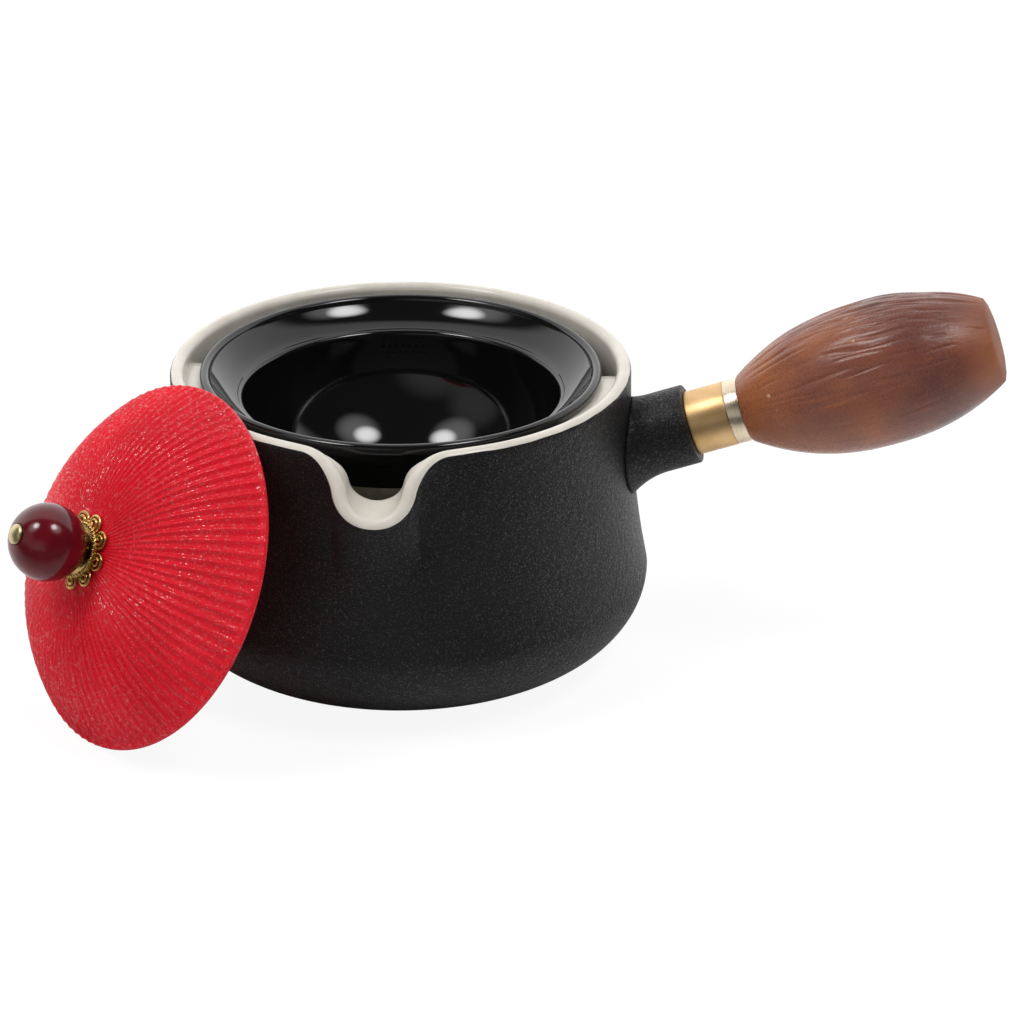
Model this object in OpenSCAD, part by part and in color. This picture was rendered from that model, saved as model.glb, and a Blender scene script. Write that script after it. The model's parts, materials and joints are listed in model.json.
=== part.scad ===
// Side handle teapot: stoneware pot with a pulled notch for a spout, a hanging inner bowl,
// a turned wooden handle on a brass ferrule, and a loose lid that leans against the wall.
// Millimetres. Origin at the middle of the foot, on the table. +X along the handle, -Y out of the spout.

/* [Pot] */
// Outer radius of the pot at the rim
rim_r = 47; // [45:0.5:54]
// Height of the rim above the table
pot_h = 62.5; // [58:0.5:76]
// Outer radius of the belly, the widest level
belly_r = 50.8; // [48:0.2:56]
// Height of the belly above the table
belly_z = 18.5; // [14:0.5:24]
// Thickness of the wall, and width of the round lip
wall = 3; // [2.4:0.1:3.6]
// Thickness of the floor above the foot
floor_t = 3.5; // [2.5:0.1:5]
// Outer radius of the foot ring
foot_r = 31; // [24:0.5:36]
// Height of the foot ring
foot_h = 1.7; // [1:0.1:3]
// Width of the foot ring
foot_w = 5; // [3:0.5:8]

/* [Spout] */
// Width of the channel between its two walls
spout_w = 11; // [8:0.5:14]
// Drop from the rim to the bottom of the channel at its lip
spout_drop = 13; // [10:0.5:16]
// How far the lip stands out from the rim
spout_reach = 6.5; // [4:0.5:9]
// Fall of the channel towards the lip, in degrees
spout_fall = 14; // [5:1:20]
// Lean of the outside of the beak, in degrees from upright
beak_lean = 24; // [18:1:32]
// Radius of the two shoulders that turn from the rim into the channel
shoulder_r = 9; // [6:0.5:10]

/* [Inner bowl] */
// Gap all round between the rim of the bowl and the wall of the pot
bowl_room = 3; // [2:0.1:4]
// How far the rim of the bowl sits below the rim of the pot
bowl_drop = 0.7; // [0:0.1:2]
// Thickness of the rolled lip of the bowl
bowl_lip = 2; // [1.6:0.1:2.6]
// Width of the dished gallery that the lid sits in
gallery_w = 6.7; // [5.5:0.1:9]
// Drop from the rim of the bowl to the gallery's crisp inner edge
throat_drop = 5.3; // [4:0.1:7]
// Inside depth of the bowl below its rim
bowl_depth = 34; // [30:0.5:38]
// Thickness of the bowl below the throat
bowl_wall = 3; // [2.4:0.1:3.6]
// Radius of the flat foot under the bowl
bowl_foot_r = 13; // [9:0.5:16]
// Width of the flat under the lip that sits on the ledges
seat_w = 1.6; // [1.2:0.1:2]
// Room between the bowl and the ledges
seat_gap = 0.3; // [0.2:0.05:0.5]
// Arc of each ledge that carries the bowl, in degrees
ledge_arc = 35; // [20:1:45]
// Thickness of each ledge at its inner edge
ledge_t = 1.8; // [1.4:0.1:2.6]
// Radius of the strainer holes
strain_r = 0.9; // [0.6:0.1:1.2]
// Distance between neighbouring strainer holes
strain_pitch = 3.6; // [3:0.1:4.2]
// Number of rows of strainer holes
strain_rows = 3; // [1:1:3]
// Number of strainer holes in a row
strain_cols = 7; // [3:1:9]
// Drop from the rim of the bowl to the first row
strain_drop = 18; // [16:0.5:20]

/* [Handle] */
// Drop from the rim to where the handle's axis crosses the radius of the rim
handle_drop = 15.5; // [14:0.1:24]
// Upward tilt of the handle, in degrees
handle_tilt = 18.7; // [0:0.1:25]
// Length of the clay socket along the handle's axis
socket_len = 13.4; // [12:0.1:18]
// How much the clay socket stands out beyond the ferrule
socket_step = 1.6; // [1.4:0.1:3]
// How much the socket widens towards the wall
socket_flare = 3.6; // [1:0.1:5]
// Radius of the rounded edge at the socket's mouth
socket_round = 1.2; // [0.6:0.1:1.2]
// Outer radius of the ferrule
ferrule_r = 6.6; // [6.2:0.1:7]
// Thickness of the ferrule's wall
ferrule_t = 1; // [0.6:0.1:1.2]
// Length of the brass sleeve
sleeve_len = 8.2; // [5:0.1:12]
// Length of the pale ring
ring_len = 3; // [2:0.1:5]
// Length of the wooden grip beyond the ferrule
grip_len = 53.4; // [45:0.1:70]
// How much the grip stands out beyond the ferrule where they meet
neck_step = 0.2; // [0:0.1:1]
// Largest radius of the grip
grip_r = 15; // [12:0.2:18]
// Distance from the ferrule to the grip's thickest place
grip_mid = 28; // [22:0.5:34]
// Radius of the grip at its end
grip_tip_r = 8.9; // [7:0.1:11]
// Height of the soft dome on the grip's end
grip_dome = 1.5; // [0.5:0.1:3]
// Radius of the stud that ties the grip to the socket
stud_r = 2.5; // [1.5:0.1:2.8]
// Thickness of the wall of the bush in the socket
bush_wall = 2; // [1:0.1:2.4]
// Length of the bush in the socket
bush_len = 9; // [6:0.5:10]
// Thickness of the wall of the insert in the grip
insert_wall = 1.5; // [0.8:0.1:1.8]
// Length of the insert in the grip
insert_len = 18; // [12:0.5:26]

/* [Lid] */
// Room between the rim of the lid and the lip of the bowl when the lid is on
lid_room = 2; // [1:0.1:3]
// Height of the dome above the rim of the lid
lid_h = 16.8; // [15:0.1:22]
// Height of the plain band around the rim of the lid
lid_band = 1.2; // [0.8:0.1:2]
// Thickness of the lid
lid_wall = 2.2; // [1.8:0.1:2.8]
// Tip of the lid's rim from level as it leans, in degrees
lid_tip = 62.8; // [58:0.1:66]
// Direction from the pot to the leaning lid, in degrees from the handle
lid_turn = 220; // [200:1:236]
// Room between the lid and the pot it leans against
lid_gap = 0.4; // [0.3:0.1:1]
// Radius of the bead
ball_r = 7.75; // [6:0.05:9]
// Radius of the pierced cap under the bead
cap_r = 8.3; // [7:0.1:10]
// Thickness of the pierced cap
cap_t = 0.8; // [0.6:0.1:1.2]
// Number of petals around the cap
petals = 12; // [8:1:14]
// Radius of the pin through the bead
pin_r = 1.2; // [0.8:0.1:1.5]
// How much the pin's head stands out beyond the pin
head_lip = 0.8; // [0.5:0.1:1.6]
// Height of the pin's head
pin_head_h = 0.9; // [0.5:0.1:1.5]
// How much the washer stands out beyond the nut
washer_lip = 1.1; // [0.5:0.1:2.5]
// Thickness of the washer
washer_t = 1; // [0.6:0.1:1.5]
// Thickness of the nut from the pin to its corners
nut_wall = 1.7; // [1.2:0.1:2.2]
// Thickness of the nut
nut_t = 2; // [1.5:0.1:3]

/* [Hidden] */
$fn = 64;

// Steps along each curve of an outline
steps = 10;
// Room between pieces that are glued, luted or screwed together
fit = 0.05;
// Extra length of a cut past the face that it opens
over = 1;
// Powers of the curves: upper wall, bowl, gallery inside the bowl's rim, grip and lid
wall_curve = 2.3;
bowl_curve = 2.2;
gallery_curve = 1.8;
grip_curve = 2.3;
lid_curve = 3;

// Points from 0 to 1 along a curve, denser towards 1 where the curve turns in
bend = [for (i = [0 : steps]) sin(90 * i / steps)];
even = [for (i = [0 : steps]) i / steps];
function backwards(list) = [for (i = [len(list) - 1 : -1 : 0]) list[i]];

// Pot
lip_r = wall / 2;
lip_z = pot_h - lip_r;
floor_z = foot_h + floor_t;

// Outer radius of the wall at height z, without the round of the lip
function wall_out(z) = z >= belly_z
    ? rim_r + (belly_r - rim_r) * pow((pot_h - z) / (pot_h - belly_z), wall_curve)
    : foot_r + (belly_r - foot_r) * sqrt(max(0, 1 - pow((belly_z - z) / (belly_z - foot_h), 2)));

// Inner radius of the wall at height z
function wall_in(z) = z >= belly_z
    ? wall_out(z) - wall
    : foot_r + (belly_r - wall - foot_r) * sqrt(max(0, 1 - pow((belly_z - z) / (belly_z - floor_z), 2)));

// Outer radius of the wall with the round of its lip
function pot_edge(z) = z > lip_z
    ? rim_r - lip_r + sqrt(max(0, lip_r * lip_r - pow(z - lip_z, 2)))
    : wall_out(z);

upper_z = [for (i = [1 : steps - 1]) lip_z - (lip_z - belly_z) * i / steps];

// One quarter of the round lip, towards the outside or the inside
function lip_arc(side) = [
    for (t = even) [rim_r - lip_r + side * lip_r * sin(90 * t), lip_z + lip_r * cos(90 * t)]
];

module pot_outside(grow = 0) {
    rotate_extrude()
        translate([grow, 0])
        polygon(concat(
            [[-grow, foot_h], [-grow, pot_h]],
            lip_arc(1),
            [for (z = upper_z) [wall_out(z), z]],
            [for (t = bend) let (z = belly_z - (belly_z - foot_h) * t) [wall_out(z), z]]
        ));
}

module pot_cavity(room = 0) {
    edge = concat(
        [[rim_r - lip_r, pot_h + over]],
        lip_arc(-1),
        [for (z = upper_z) [wall_in(z), z]],
        [for (t = bend) let (z = belly_z - (belly_z - floor_z) * t) [wall_in(z), z]]
    );
    rotate_extrude()
        polygon(concat([[0, floor_z], [0, pot_h + over]], [for (p = edge) p - [room, 0]]));
}

module foot_ring() {
    difference() {
        cylinder(r = foot_r, h = foot_h + over);
        translate([0, 0, -over])
            cylinder(r = foot_r - foot_w, h = foot_h + over);
    }
}

// Spout: a leaning beak outside, a round channel through the wall, and two soft shoulders
beak_r = spout_w / 2 + wall;
lip_y = -(rim_r + spout_reach);
channel_z = pot_h - spout_drop;
lip_foot = [0, lip_y, channel_z - lip_r];
lip_slope = atan2(spout_reach + lip_r, spout_drop + lip_r);
cut_in = spout_reach + wall + shoulder_r;
shoulder_lift = 0.2;

module beak() {
    intersection() {
        translate(lip_foot)
            rotate([beak_lean, 0, 0])
            translate([0, beak_r, -4 * beak_r])
            cylinder(r = beak_r, h = 8 * beak_r);
        translate(lip_foot)
            rotate([-lip_slope, 0, 0])
            translate([-2 * beak_r, 0, -4 * beak_r])
            cube([4 * beak_r, 4 * beak_r, 8 * beak_r]);
        translate([-2 * beak_r, lip_y, 0])
            cube([4 * beak_r, spout_reach + wall + beak_r, lip_z]);
    }
}

module channel() {
    translate([0, lip_y, channel_z])
        rotate([spout_fall, 0, 0])
        translate([0, -wall, spout_w / 2]) {
            rotate([-90, 0, 0])
                cylinder(d = spout_w, h = cut_in);
            translate([-spout_w / 2, 0, 0])
                cube([spout_w, cut_in, spout_drop + spout_w]);
        }
}

module shoulders() {
    half = spout_w / 2 + shoulder_r;
    centre_z = pot_h - shoulder_r + shoulder_lift;
    difference() {
        translate([-half, lip_y - over, centre_z])
            cube([2 * half, cut_in, shoulder_r + over]);
        for (side = [-1, 1])
            translate([side * half, lip_y - 2 * over, centre_z])
                rotate([-90, 0, 0])
                cylinder(r = shoulder_r, h = cut_in + 2 * over);
    }
}

// Ledges: short brackets luted to the wall under the rim of the bowl, on both sides of the spout
bowl_rim_r = rim_r - wall - bowl_room;
bowl_z = pot_h - bowl_drop;
ledge_z = bowl_z - bowl_lip - seat_gap;
ledge_in = bowl_rim_r - seat_w + seat_gap;
ledge_out = rim_r - wall / 2;
ledge_back = 5;

module bowl_ledge_right() {
    color("#d9d5ce")
        intersection() {
            rotate([0, 0, ledge_back - ledge_arc])
                rotate_extrude(angle = ledge_arc)
                polygon([
                    [ledge_in, ledge_z], [ledge_out, ledge_z],
                    [ledge_out, ledge_z - ledge_t - (ledge_out - ledge_in)], [ledge_in, ledge_z - ledge_t]
                ]);
            pot_cavity(fit);
        }
}

module bowl_ledge_left() {
    mirror([1, 0, 0])
        bowl_ledge_right();
}

module pot_body() {
    color("#2b2a29")
        difference() {
            union() {
                pot_outside();
                foot_ring();
                beak();
            }
            pot_cavity();
            channel();
            shoulders();
        }
}

// Handle: everything is turned about one axis, which leaves the wall below the rim
handle_z = pot_h - handle_drop;
socket_r = ferrule_r + socket_step;
grip_neck_r = ferrule_r + neck_step;
bush_r = stud_r + bush_wall;
insert_r = stud_r + insert_wall;
tenon_r = ferrule_r - ferrule_t - fit;
ring_s = socket_len + sleeve_len;
grip_s = ring_s + ring_len;
bush_s = socket_len - bush_len;
tenon_s = socket_len + fit;
stud_s = bush_s + over;
stud_end = tenon_s + insert_len - over;
flare_end = 6;
flare_len = 10;
socket_root = wall + 2 * over;

module on_handle(s = 0) {
    translate([rim_r, 0, handle_z])
        rotate([0, 90 - handle_tilt, 0])
        translate([0, 0, s])
        children();
}

module tube(outer, inner, length) {
    difference() {
        cylinder(r = outer, h = length);
        translate([0, 0, -over])
            cylinder(r = inner, h = length + 2 * over);
    }
}

function socket_out(s) = socket_r + socket_flare * pow(max(0, flare_end - s) / flare_len, 2);

module handle_socket() {
    round_s = socket_len - socket_round;
    flare_s = [for (t = even) -socket_root + (flare_end + socket_root) * t];
    color("#2f2d2c")
        difference() {
            on_handle()
                rotate_extrude()
                polygon(concat(
                    [[0, socket_len], [0, -socket_root]],
                    [for (s = flare_s) [socket_out(s), s]],
                    [for (t = even) [
                        socket_r - socket_round + socket_round * cos(90 * t),
                        round_s + socket_round * sin(90 * t)
                    ]]
                ));
            pot_outside(fit);
            on_handle(bush_s - fit)
                cylinder(r = bush_r + fit, h = bush_len + over);
        }
}

module socket_bush() {
    color("#b8924c")
        on_handle(bush_s)
        tube(bush_r, stud_r + fit, bush_len);
}

module handle_stud() {
    color("#9a9da0")
        on_handle(stud_s)
        cylinder(r = stud_r, h = stud_end - stud_s);
}

module ferrule_sleeve() {
    color("#c19a5b")
        on_handle(socket_len)
        tube(ferrule_r, tenon_r + fit, sleeve_len);
}

module ferrule_ring() {
    color("#dcc49c")
        on_handle(ring_s)
        tube(ferrule_r, tenon_r + fit, ring_len);
}

module grip_insert() {
    color("#b8924c")
        on_handle(tenon_s)
        tube(insert_r, stud_r + fit, insert_len);
}

// Radius of the grip at distance u from the ferrule
function grip_out(u) = u < grip_mid
    ? grip_r - (grip_r - grip_neck_r) * pow((grip_mid - u) / grip_mid, grip_curve)
    : grip_r - (grip_r - grip_tip_r) * pow((u - grip_mid) / (grip_len - grip_dome - grip_mid), grip_curve);

module handle_grip() {
    tip_u = grip_len - grip_dome;
    barrel = [for (i = [0 : 2 * steps]) tip_u * i / (2 * steps)];
    color("#7a4a2c")
        difference() {
            on_handle(grip_s)
                rotate_extrude()
                polygon(concat(
                    [[0, tenon_s - grip_s], [tenon_r, tenon_s - grip_s], [tenon_r, 0]],
                    [for (u = barrel) [grip_out(u), u]],
                    [for (t = even) if (t > 0) [grip_tip_r * cos(90 * t), tip_u + grip_dome * sin(90 * t)]]
                ));
            on_handle(tenon_s - over)
                cylinder(r = insert_r + fit, h = insert_len + over + fit);
        }
}

// Inner bowl: depths d run down from its rim
gallery_r = bowl_rim_r - bowl_lip;
throat_r = gallery_r - gallery_w;
inner_d = bowl_depth - throat_drop;
outer_r = throat_r + bowl_wall;
outer_d = throat_drop + bowl_wall;
foot_d = bowl_depth + bowl_wall;
lip_d = bowl_lip / 2;

function round_r(radius, t) = radius * pow(max(0, 1 - pow(t, bowl_curve)), 1 / bowl_curve);
function bowl_in(d) = round_r(throat_r, (d - throat_drop) / inner_d);

module bowl_solid() {
    foot_t = pow(1 - pow(bowl_foot_r / outer_r, bowl_curve), 1 / bowl_curve);
    translate([0, 0, bowl_z])
        rotate_extrude()
        polygon(concat(
            [for (t = backwards(bend)) [round_r(throat_r, t), -throat_drop - inner_d * t]],
            [for (x = even) if (x > 0) [
                throat_r + (gallery_r - throat_r) * x,
                -throat_drop + (throat_drop - lip_d) * pow(x, gallery_curve)
            ]],
            [for (t = even) if (t > 0) [
                bowl_rim_r - lip_d - lip_d * cos(180 * t), -lip_d + lip_d * sin(180 * t)
            ]],
            [[bowl_rim_r, -bowl_lip], [bowl_rim_r - seat_w, -bowl_lip]],
            [for (t = bend) [round_r(outer_r, t * foot_t), -outer_d - (foot_d - outer_d) * t * foot_t]],
            [[bowl_foot_r, -foot_d], [0, -foot_d]]
        ));
}

module strainer_holes() {
    for (row = [0 : strain_rows - 1]) {
        d = strain_drop + row * strain_pitch;
        step = strain_pitch / bowl_in(d) * 180 / PI;
        shift = (strain_cols - 1) / 2 - (row % 2) / 2;
        for (col = [0 : strain_cols - 1])
            translate([0, 0, bowl_z - d])
                rotate([0, 90, (col - shift) * step - 90])
                cylinder(r = strain_r, h = bowl_rim_r);
    }
}

module infuser_bowl() {
    color("#141414")
        difference() {
            bowl_solid();
            strainer_holes();
        }
}

// Lid: it stands on the table on its rim and leans on the pot with the open side inwards
lid_r = gallery_r - lid_room;
lid_in_r = lid_r - lid_wall;
lid_in_h = lid_h - lid_wall;
lid_z = lid_r * sin(lid_tip);
lean_steps = 120;

// Distance of the lid's middle from the pot's axis that keeps its rim clear of the pot at height z
function lid_clear(z) = let (
        along = (z - lid_z) / sin(lid_tip),
        half_chord_sq = max(0, lid_in_r * lid_in_r - along * along),
        reach_sq = pow(pot_edge(z) + lid_gap, 2)
    ) sqrt(max(0, reach_sq - half_chord_sq)) + (z - lid_z) / tan(lid_tip);

// The two can touch up to the rim of the pot or the top of the lid's rim, whichever is lower
lean_top = min(pot_h, 2 * lid_z);
lid_out = max([for (i = [0 : lean_steps]) lid_clear(lean_top * i / lean_steps)]);

module on_lid(h = 0) {
    rotate([0, 0, lid_turn])
        translate([lid_out, 0, lid_z])
        rotate([0, lid_tip, 0])
        translate([0, 0, h])
        children();
}

function dome_out(r) = lid_band + (lid_h - lid_band) * (1 - pow(r / lid_r, lid_curve));
function dome_in(r) = lid_in_h * (1 - pow(r / lid_in_r, lid_curve));

pin_head_r = pin_r + head_lip;
nut_r = pin_r + nut_wall;
washer_r = nut_r + washer_lip;
cap_z = lid_h + fit;
ball_z = cap_z + cap_t + ball_r;
ball_top = ball_z + ball_r;
head_sink = ball_r - sqrt(ball_r * ball_r - pin_head_r * pin_head_r) + fit;
washer_z = dome_in(washer_r) - washer_t - fit;
nut_z = washer_z - nut_t - fit;
pin_hole_r = pin_r + fit;

module lid_dome() {
    color("#c5162c")
        on_lid()
        difference() {
            rotate_extrude()
                polygon(concat(
                    [for (t = bend) [lid_r * t, dome_out(lid_r * t)]],
                    [[lid_r, 0]],
                    [for (t = backwards(bend)) [lid_in_r * t, dome_in(lid_in_r * t)]]
                ));
            cylinder(r = pin_hole_r, h = lid_h + over);
        }
}

module bead_cap() {
    petal_at = cap_r * cos(180 / petals) / (1 + sin(180 / petals));
    petal_r = cap_r - petal_at;
    color("#c9a24a")
        on_lid(cap_z)
        difference() {
            union() {
                cylinder(r = petal_at, h = cap_t);
                for (i = [0 : petals - 1])
                    rotate([0, 0, i * 360 / petals])
                        translate([petal_at, 0, 0])
                        cylinder(r = petal_r, h = cap_t);
            }
            for (i = [0 : petals - 1])
                rotate([0, 0, i * 360 / petals])
                    translate([petal_at, 0, -over])
                    cylinder(r = petal_r / 2, h = cap_t + 2 * over);
            translate([0, 0, -over])
                cylinder(r = pin_hole_r, h = cap_t + 2 * over);
        }
}

module knob_ball() {
    color("#5e0b16")
        on_lid(ball_z)
        difference() {
            sphere(r = ball_r);
            translate([0, 0, -ball_r - over])
                cylinder(r = pin_hole_r, h = 2 * ball_r + 2 * over);
            translate([0, 0, ball_r - head_sink])
                cylinder(r = pin_head_r + fit, h = ball_r);
        }
}

module knob_pin() {
    head_z = ball_top - head_sink + fit;
    head_edge = pin_head_h / 3;
    pin_z = nut_z - over;
    color("#c9a567")
        on_lid() {
            translate([0, 0, pin_z])
                cylinder(r = pin_r, h = head_z - pin_z + head_edge);
            translate([0, 0, head_z])
                rotate_extrude()
                polygon(concat(
                    [[0, 0], [pin_head_r, 0]],
                    [for (t = even) [
                        pin_head_r * cos(90 * t), head_edge + (pin_head_h - head_edge) * sin(90 * t)
                    ]]
                ));
        }
}

module pin_washer() {
    color("#d8d4cc")
        on_lid(washer_z)
        tube(washer_r, pin_hole_r, washer_t);
}

module pin_nut() {
    color("#b8924c")
        on_lid(nut_z)
        difference() {
            cylinder(r = nut_r, h = nut_t, $fn = 6);
            translate([0, 0, -over])
                cylinder(r = pin_hole_r, h = nut_t + 2 * over);
        }
}

pot_body();
bowl_ledge_right();
bowl_ledge_left();
handle_socket();
socket_bush();
handle_stud();
ferrule_sleeve();
ferrule_ring();
grip_insert();
handle_grip();
infuser_bowl();
lid_dome();
bead_cap();
knob_ball();
knob_pin();
pin_washer();
pin_nut();
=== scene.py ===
# %% [markdown]
# # A side handle teapot and its leaning lid
# The construction of this teapot is packed already: every solid has its real size and its place. This
# lesson gives it its looks. The pot is sandy black stoneware with a white lining, the inner bowl is
# mirror black, the handle is carved wood on a brass ferrule, and a fluted red lid leans on the wall.
# Shapes are written in millimetres, as a potter or a turner would measure them, and are scaled once to
# metres. In the names of sizes, R is a radius, H a height, D a depth and Z a height above the table.

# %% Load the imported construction
import json
import math

import bmesh
import bpy
import numpy as np
from mathutils import Matrix, Vector


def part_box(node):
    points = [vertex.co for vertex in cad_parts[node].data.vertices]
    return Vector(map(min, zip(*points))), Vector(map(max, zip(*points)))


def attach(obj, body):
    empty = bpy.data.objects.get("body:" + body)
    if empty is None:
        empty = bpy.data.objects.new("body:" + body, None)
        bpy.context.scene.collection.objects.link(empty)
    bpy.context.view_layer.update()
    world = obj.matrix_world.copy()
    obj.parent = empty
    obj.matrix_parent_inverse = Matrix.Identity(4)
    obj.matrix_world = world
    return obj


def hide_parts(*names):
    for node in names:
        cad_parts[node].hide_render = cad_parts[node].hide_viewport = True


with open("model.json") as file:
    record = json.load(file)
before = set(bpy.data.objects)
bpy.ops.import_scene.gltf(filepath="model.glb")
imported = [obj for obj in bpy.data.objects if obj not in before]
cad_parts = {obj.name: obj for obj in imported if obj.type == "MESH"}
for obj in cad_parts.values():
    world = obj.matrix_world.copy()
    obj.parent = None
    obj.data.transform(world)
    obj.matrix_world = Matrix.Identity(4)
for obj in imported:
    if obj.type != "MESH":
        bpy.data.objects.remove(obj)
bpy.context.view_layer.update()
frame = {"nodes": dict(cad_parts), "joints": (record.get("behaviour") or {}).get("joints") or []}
MM = 0.001
print("nodes:", ", ".join(sorted(frame["nodes"])))

# %% [markdown]
# ## The camera
# A camera can be placed by eye, or solved from known sizes. Here the ellipse of the rim, the foot and the
# handle gave its place, and a long lens keeps the ellipses as flat as a product photographer would.

# %% Place the camera
CAMERA_AT = Vector((85.7, -749.7, 373.3))
CAMERA_DOWN = 24.53
CAMERA_YAW = 4.8
CAMERA_LENS = 140.6
CAMERA_NEAR = 50


def new_object(name, data):
    """An object around the given data, linked to the scene."""
    made = bpy.data.objects.new(name, data)
    bpy.context.scene.collection.objects.link(made)
    return made


camera = new_object("camera", bpy.data.cameras.new("camera"))
camera.location = CAMERA_AT * MM
camera.rotation_euler = (math.radians(90 - CAMERA_DOWN), 0, math.radians(CAMERA_YAW))
camera.data.lens = CAMERA_LENS
camera.data.clip_start = CAMERA_NEAR * MM
bpy.context.scene.camera = camera
bpy.context.scene.view_settings.view_transform = "Standard"
print("camera", [round(v, 3) for v in camera.location], "lens", CAMERA_LENS)

# %% [markdown]
# ## Colours and nodes
# A colour picked from a screen is sRGB, but a shader works in linear light, so one function turns a hex
# code into linear values. `per` turns the real spacing of a pattern into a texture scale. One more
# function adds any shader node with its settings, fixed values and links, so that each material below
# reads like a recipe.

# %% Helpers for nodes
def srgb(code):
    """A hex colour such as c8102e as linear red, green, blue and alpha."""
    channels = [int(code[i:i + 2], 16) / 255 for i in (0, 2, 4)]
    linear = [c / 12.92 if c <= 0.04045 else ((c + 0.055) / 1.055) ** 2.4 for c in channels]
    return (*linear, 1.0)


def per(spacing):
    """Texture scale for features that lie spacing millimetres apart."""
    return 1 / (spacing * MM)


def link(tree, node, sources):
    """Wires sources to inputs. A source is an output, or a node that gives its first output."""
    for key, source in sources.items():
        tree.links.new(getattr(source, "outputs", [source])[0], node.inputs[key])


def add(tree, kind, values=None, links=None, stops=None, **settings):
    """Adds a shader node. Settings are its properties, values its fixed inputs, links its wired inputs
    and stops the colours of a ramp."""
    node = tree.nodes.new(kind)
    for key, value in settings.items():
        setattr(node, key, value)
    for key, value in (values or {}).items():
        node.inputs[key].default_value = value
    link(tree, node, links or {})
    if stops:
        ramp = node.color_ramp.elements
        while len(ramp) < len(stops):
            ramp.new(0.5)
        for element, (place, colour) in zip(ramp, stops):
            element.position = place
            element.color = colour
    return node


print("white is", srgb("ffffff"), "and a 2 mm pattern has scale", per(2))

# %% [markdown]
# ## How a material starts
# Every material below starts as a Principled shader whose constants sit on its own sockets. Hardly any
# real surface has one flat colour, so most of them also start with soft clouds in which the colour drifts
# between two tones. Marks on the handle follow its tilted axis, and for those the coordinates are turned
# first.

# %% Helpers for materials
HANDLE_AT = Vector((47, 0, 47))
HANDLE_TILT = math.radians(18.7)


def along_handle(tree, place):
    """Coordinates whose Z axis runs along the tilted handle and whose X axis points down."""
    turn_back = {"Location": HANDLE_AT * MM, "Rotation": (0, math.pi / 2 - HANDLE_TILT, 0)}
    return add(tree, "ShaderNodeMapping", turn_back, {"Vector": place}, vector_type="TEXTURE")


def start_material(name, **sockets):
    """A material with fixed values on its shader. Gives material, tree, shader and coordinates."""
    material = bpy.data.materials.new(name)
    material.use_nodes = True
    tree = material.node_tree
    shader = tree.nodes["Principled BSDF"]
    for key, value in sockets.items():
        shader.inputs[key].default_value = value
    return material, tree, shader, add(tree, "ShaderNodeTexCoord").outputs["Object"]


def start_clouded(name, spacing, dark, light, detail=3, on_handle=False, **sockets):
    """A material whose colour drifts between two tones in clouds. Gives the clouds as well."""
    material, tree, shader, place = start_material(name, **sockets)
    if on_handle:
        place = along_handle(tree, place)
    cloud = add(tree, "ShaderNodeTexNoise", {"Scale": per(spacing), "Detail": detail}, {"Vector": place})
    tone = add(tree, "ShaderNodeValToRGB", None, {"Fac": cloud}, [(0.3, srgb(dark)), (0.7, srgb(light))])
    link(tree, shader, {"Base Color": tone})
    return material, tree, shader, place, cloud


print("the handle rises by", round(math.degrees(HANDLE_TILT), 1), "degrees")

# %% [markdown]
# ## Sandy black stoneware
# The outside of the pot wears a matt black glaze over grogged clay. Grog is ground fired clay, and its
# grains, about a third of a millimetre wide, stand under the glaze like fine sandpaper. To the eye that
# is a soft dark grey with tiny glints where a grain happens to face the light. Nobody would model such
# grains one by one, so noise of their size drives the bump, the gloss and the strength of the glints,
# over a softer peel in the skin of the glaze.

# %% Sandy black stoneware
GRAIN = 0.36
SKIN = 1.3
KILN_CLOUD = 18


def sandy_stoneware():
    started = start_clouded("sandy_black_stoneware", KILN_CLOUD, "141313", "1b1a1a", IOR=1.5)
    material, tree, shader, place, _ = started
    fine = {"Scale": per(GRAIN), "Detail": 2, "Roughness": 0.6}
    grain = add(tree, "ShaderNodeTexNoise", fine, {"Vector": place})
    peel = add(tree, "ShaderNodeTexNoise", {"Scale": per(SKIN), "Detail": 2}, {"Vector": place})
    bright = {"From Min": 0.54, "From Max": 0.74, "To Min": 0.25, "To Max": 1.2}
    glint = add(tree, "ShaderNodeMapRange", bright, {"Value": grain})
    smooth = {"From Min": 0.4, "From Max": 0.7, "To Min": 0.5, "To Max": 0.3}
    gloss = add(tree, "ShaderNodeMapRange", smooth, {"Value": grain})
    height = add(tree, "ShaderNodeMath", {1: 2.0}, {0: peel, 2: grain}, operation="MULTIPLY_ADD")
    bump = add(tree, "ShaderNodeBump", {"Strength": 1.0, "Distance": 0.13 * MM}, {"Height": height})
    link(tree, shader, {"Specular IOR Level": glint, "Roughness": gloss, "Normal": bump})
    return material


stoneware = sandy_stoneware()
print("made", stoneware.name, "with grains of", GRAIN, "mm")

# %% [markdown]
# ## White lining glaze
# Lip, channel and inside are coated with a warm white glaze. It is a thin glass: smooth, fairly glossy,
# with faint clouds where it pooled. A plain white shader would look like plastic, so colour, gloss and a
# very low bump drift together here. Other smooth finishes of this teapot are made in the same way, so
# that is a function.

# %% White lining glaze
GLAZE_POOL = 7


def smooth_finish(name, spacing, dark, light, gloss, bump=None, **options):
    """A smooth material with clouds. Gloss is its least and greatest roughness, bump a strength and a
    height in millimetres."""
    material, tree, shader, _, cloud = start_clouded(name, spacing, dark, light, **options)
    least, greatest = gloss
    rough = add(tree, "ShaderNodeMapRange", {"To Min": least, "To Max": greatest}, {"Value": cloud})
    link(tree, shader, {"Roughness": rough})
    if bump:
        strength, height = bump
        low = {"Strength": strength, "Distance": height * MM}
        swell = add(tree, "ShaderNodeBump", low, {"Height": cloud})
        link(tree, shader, {"Normal": swell})
    return material


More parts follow.
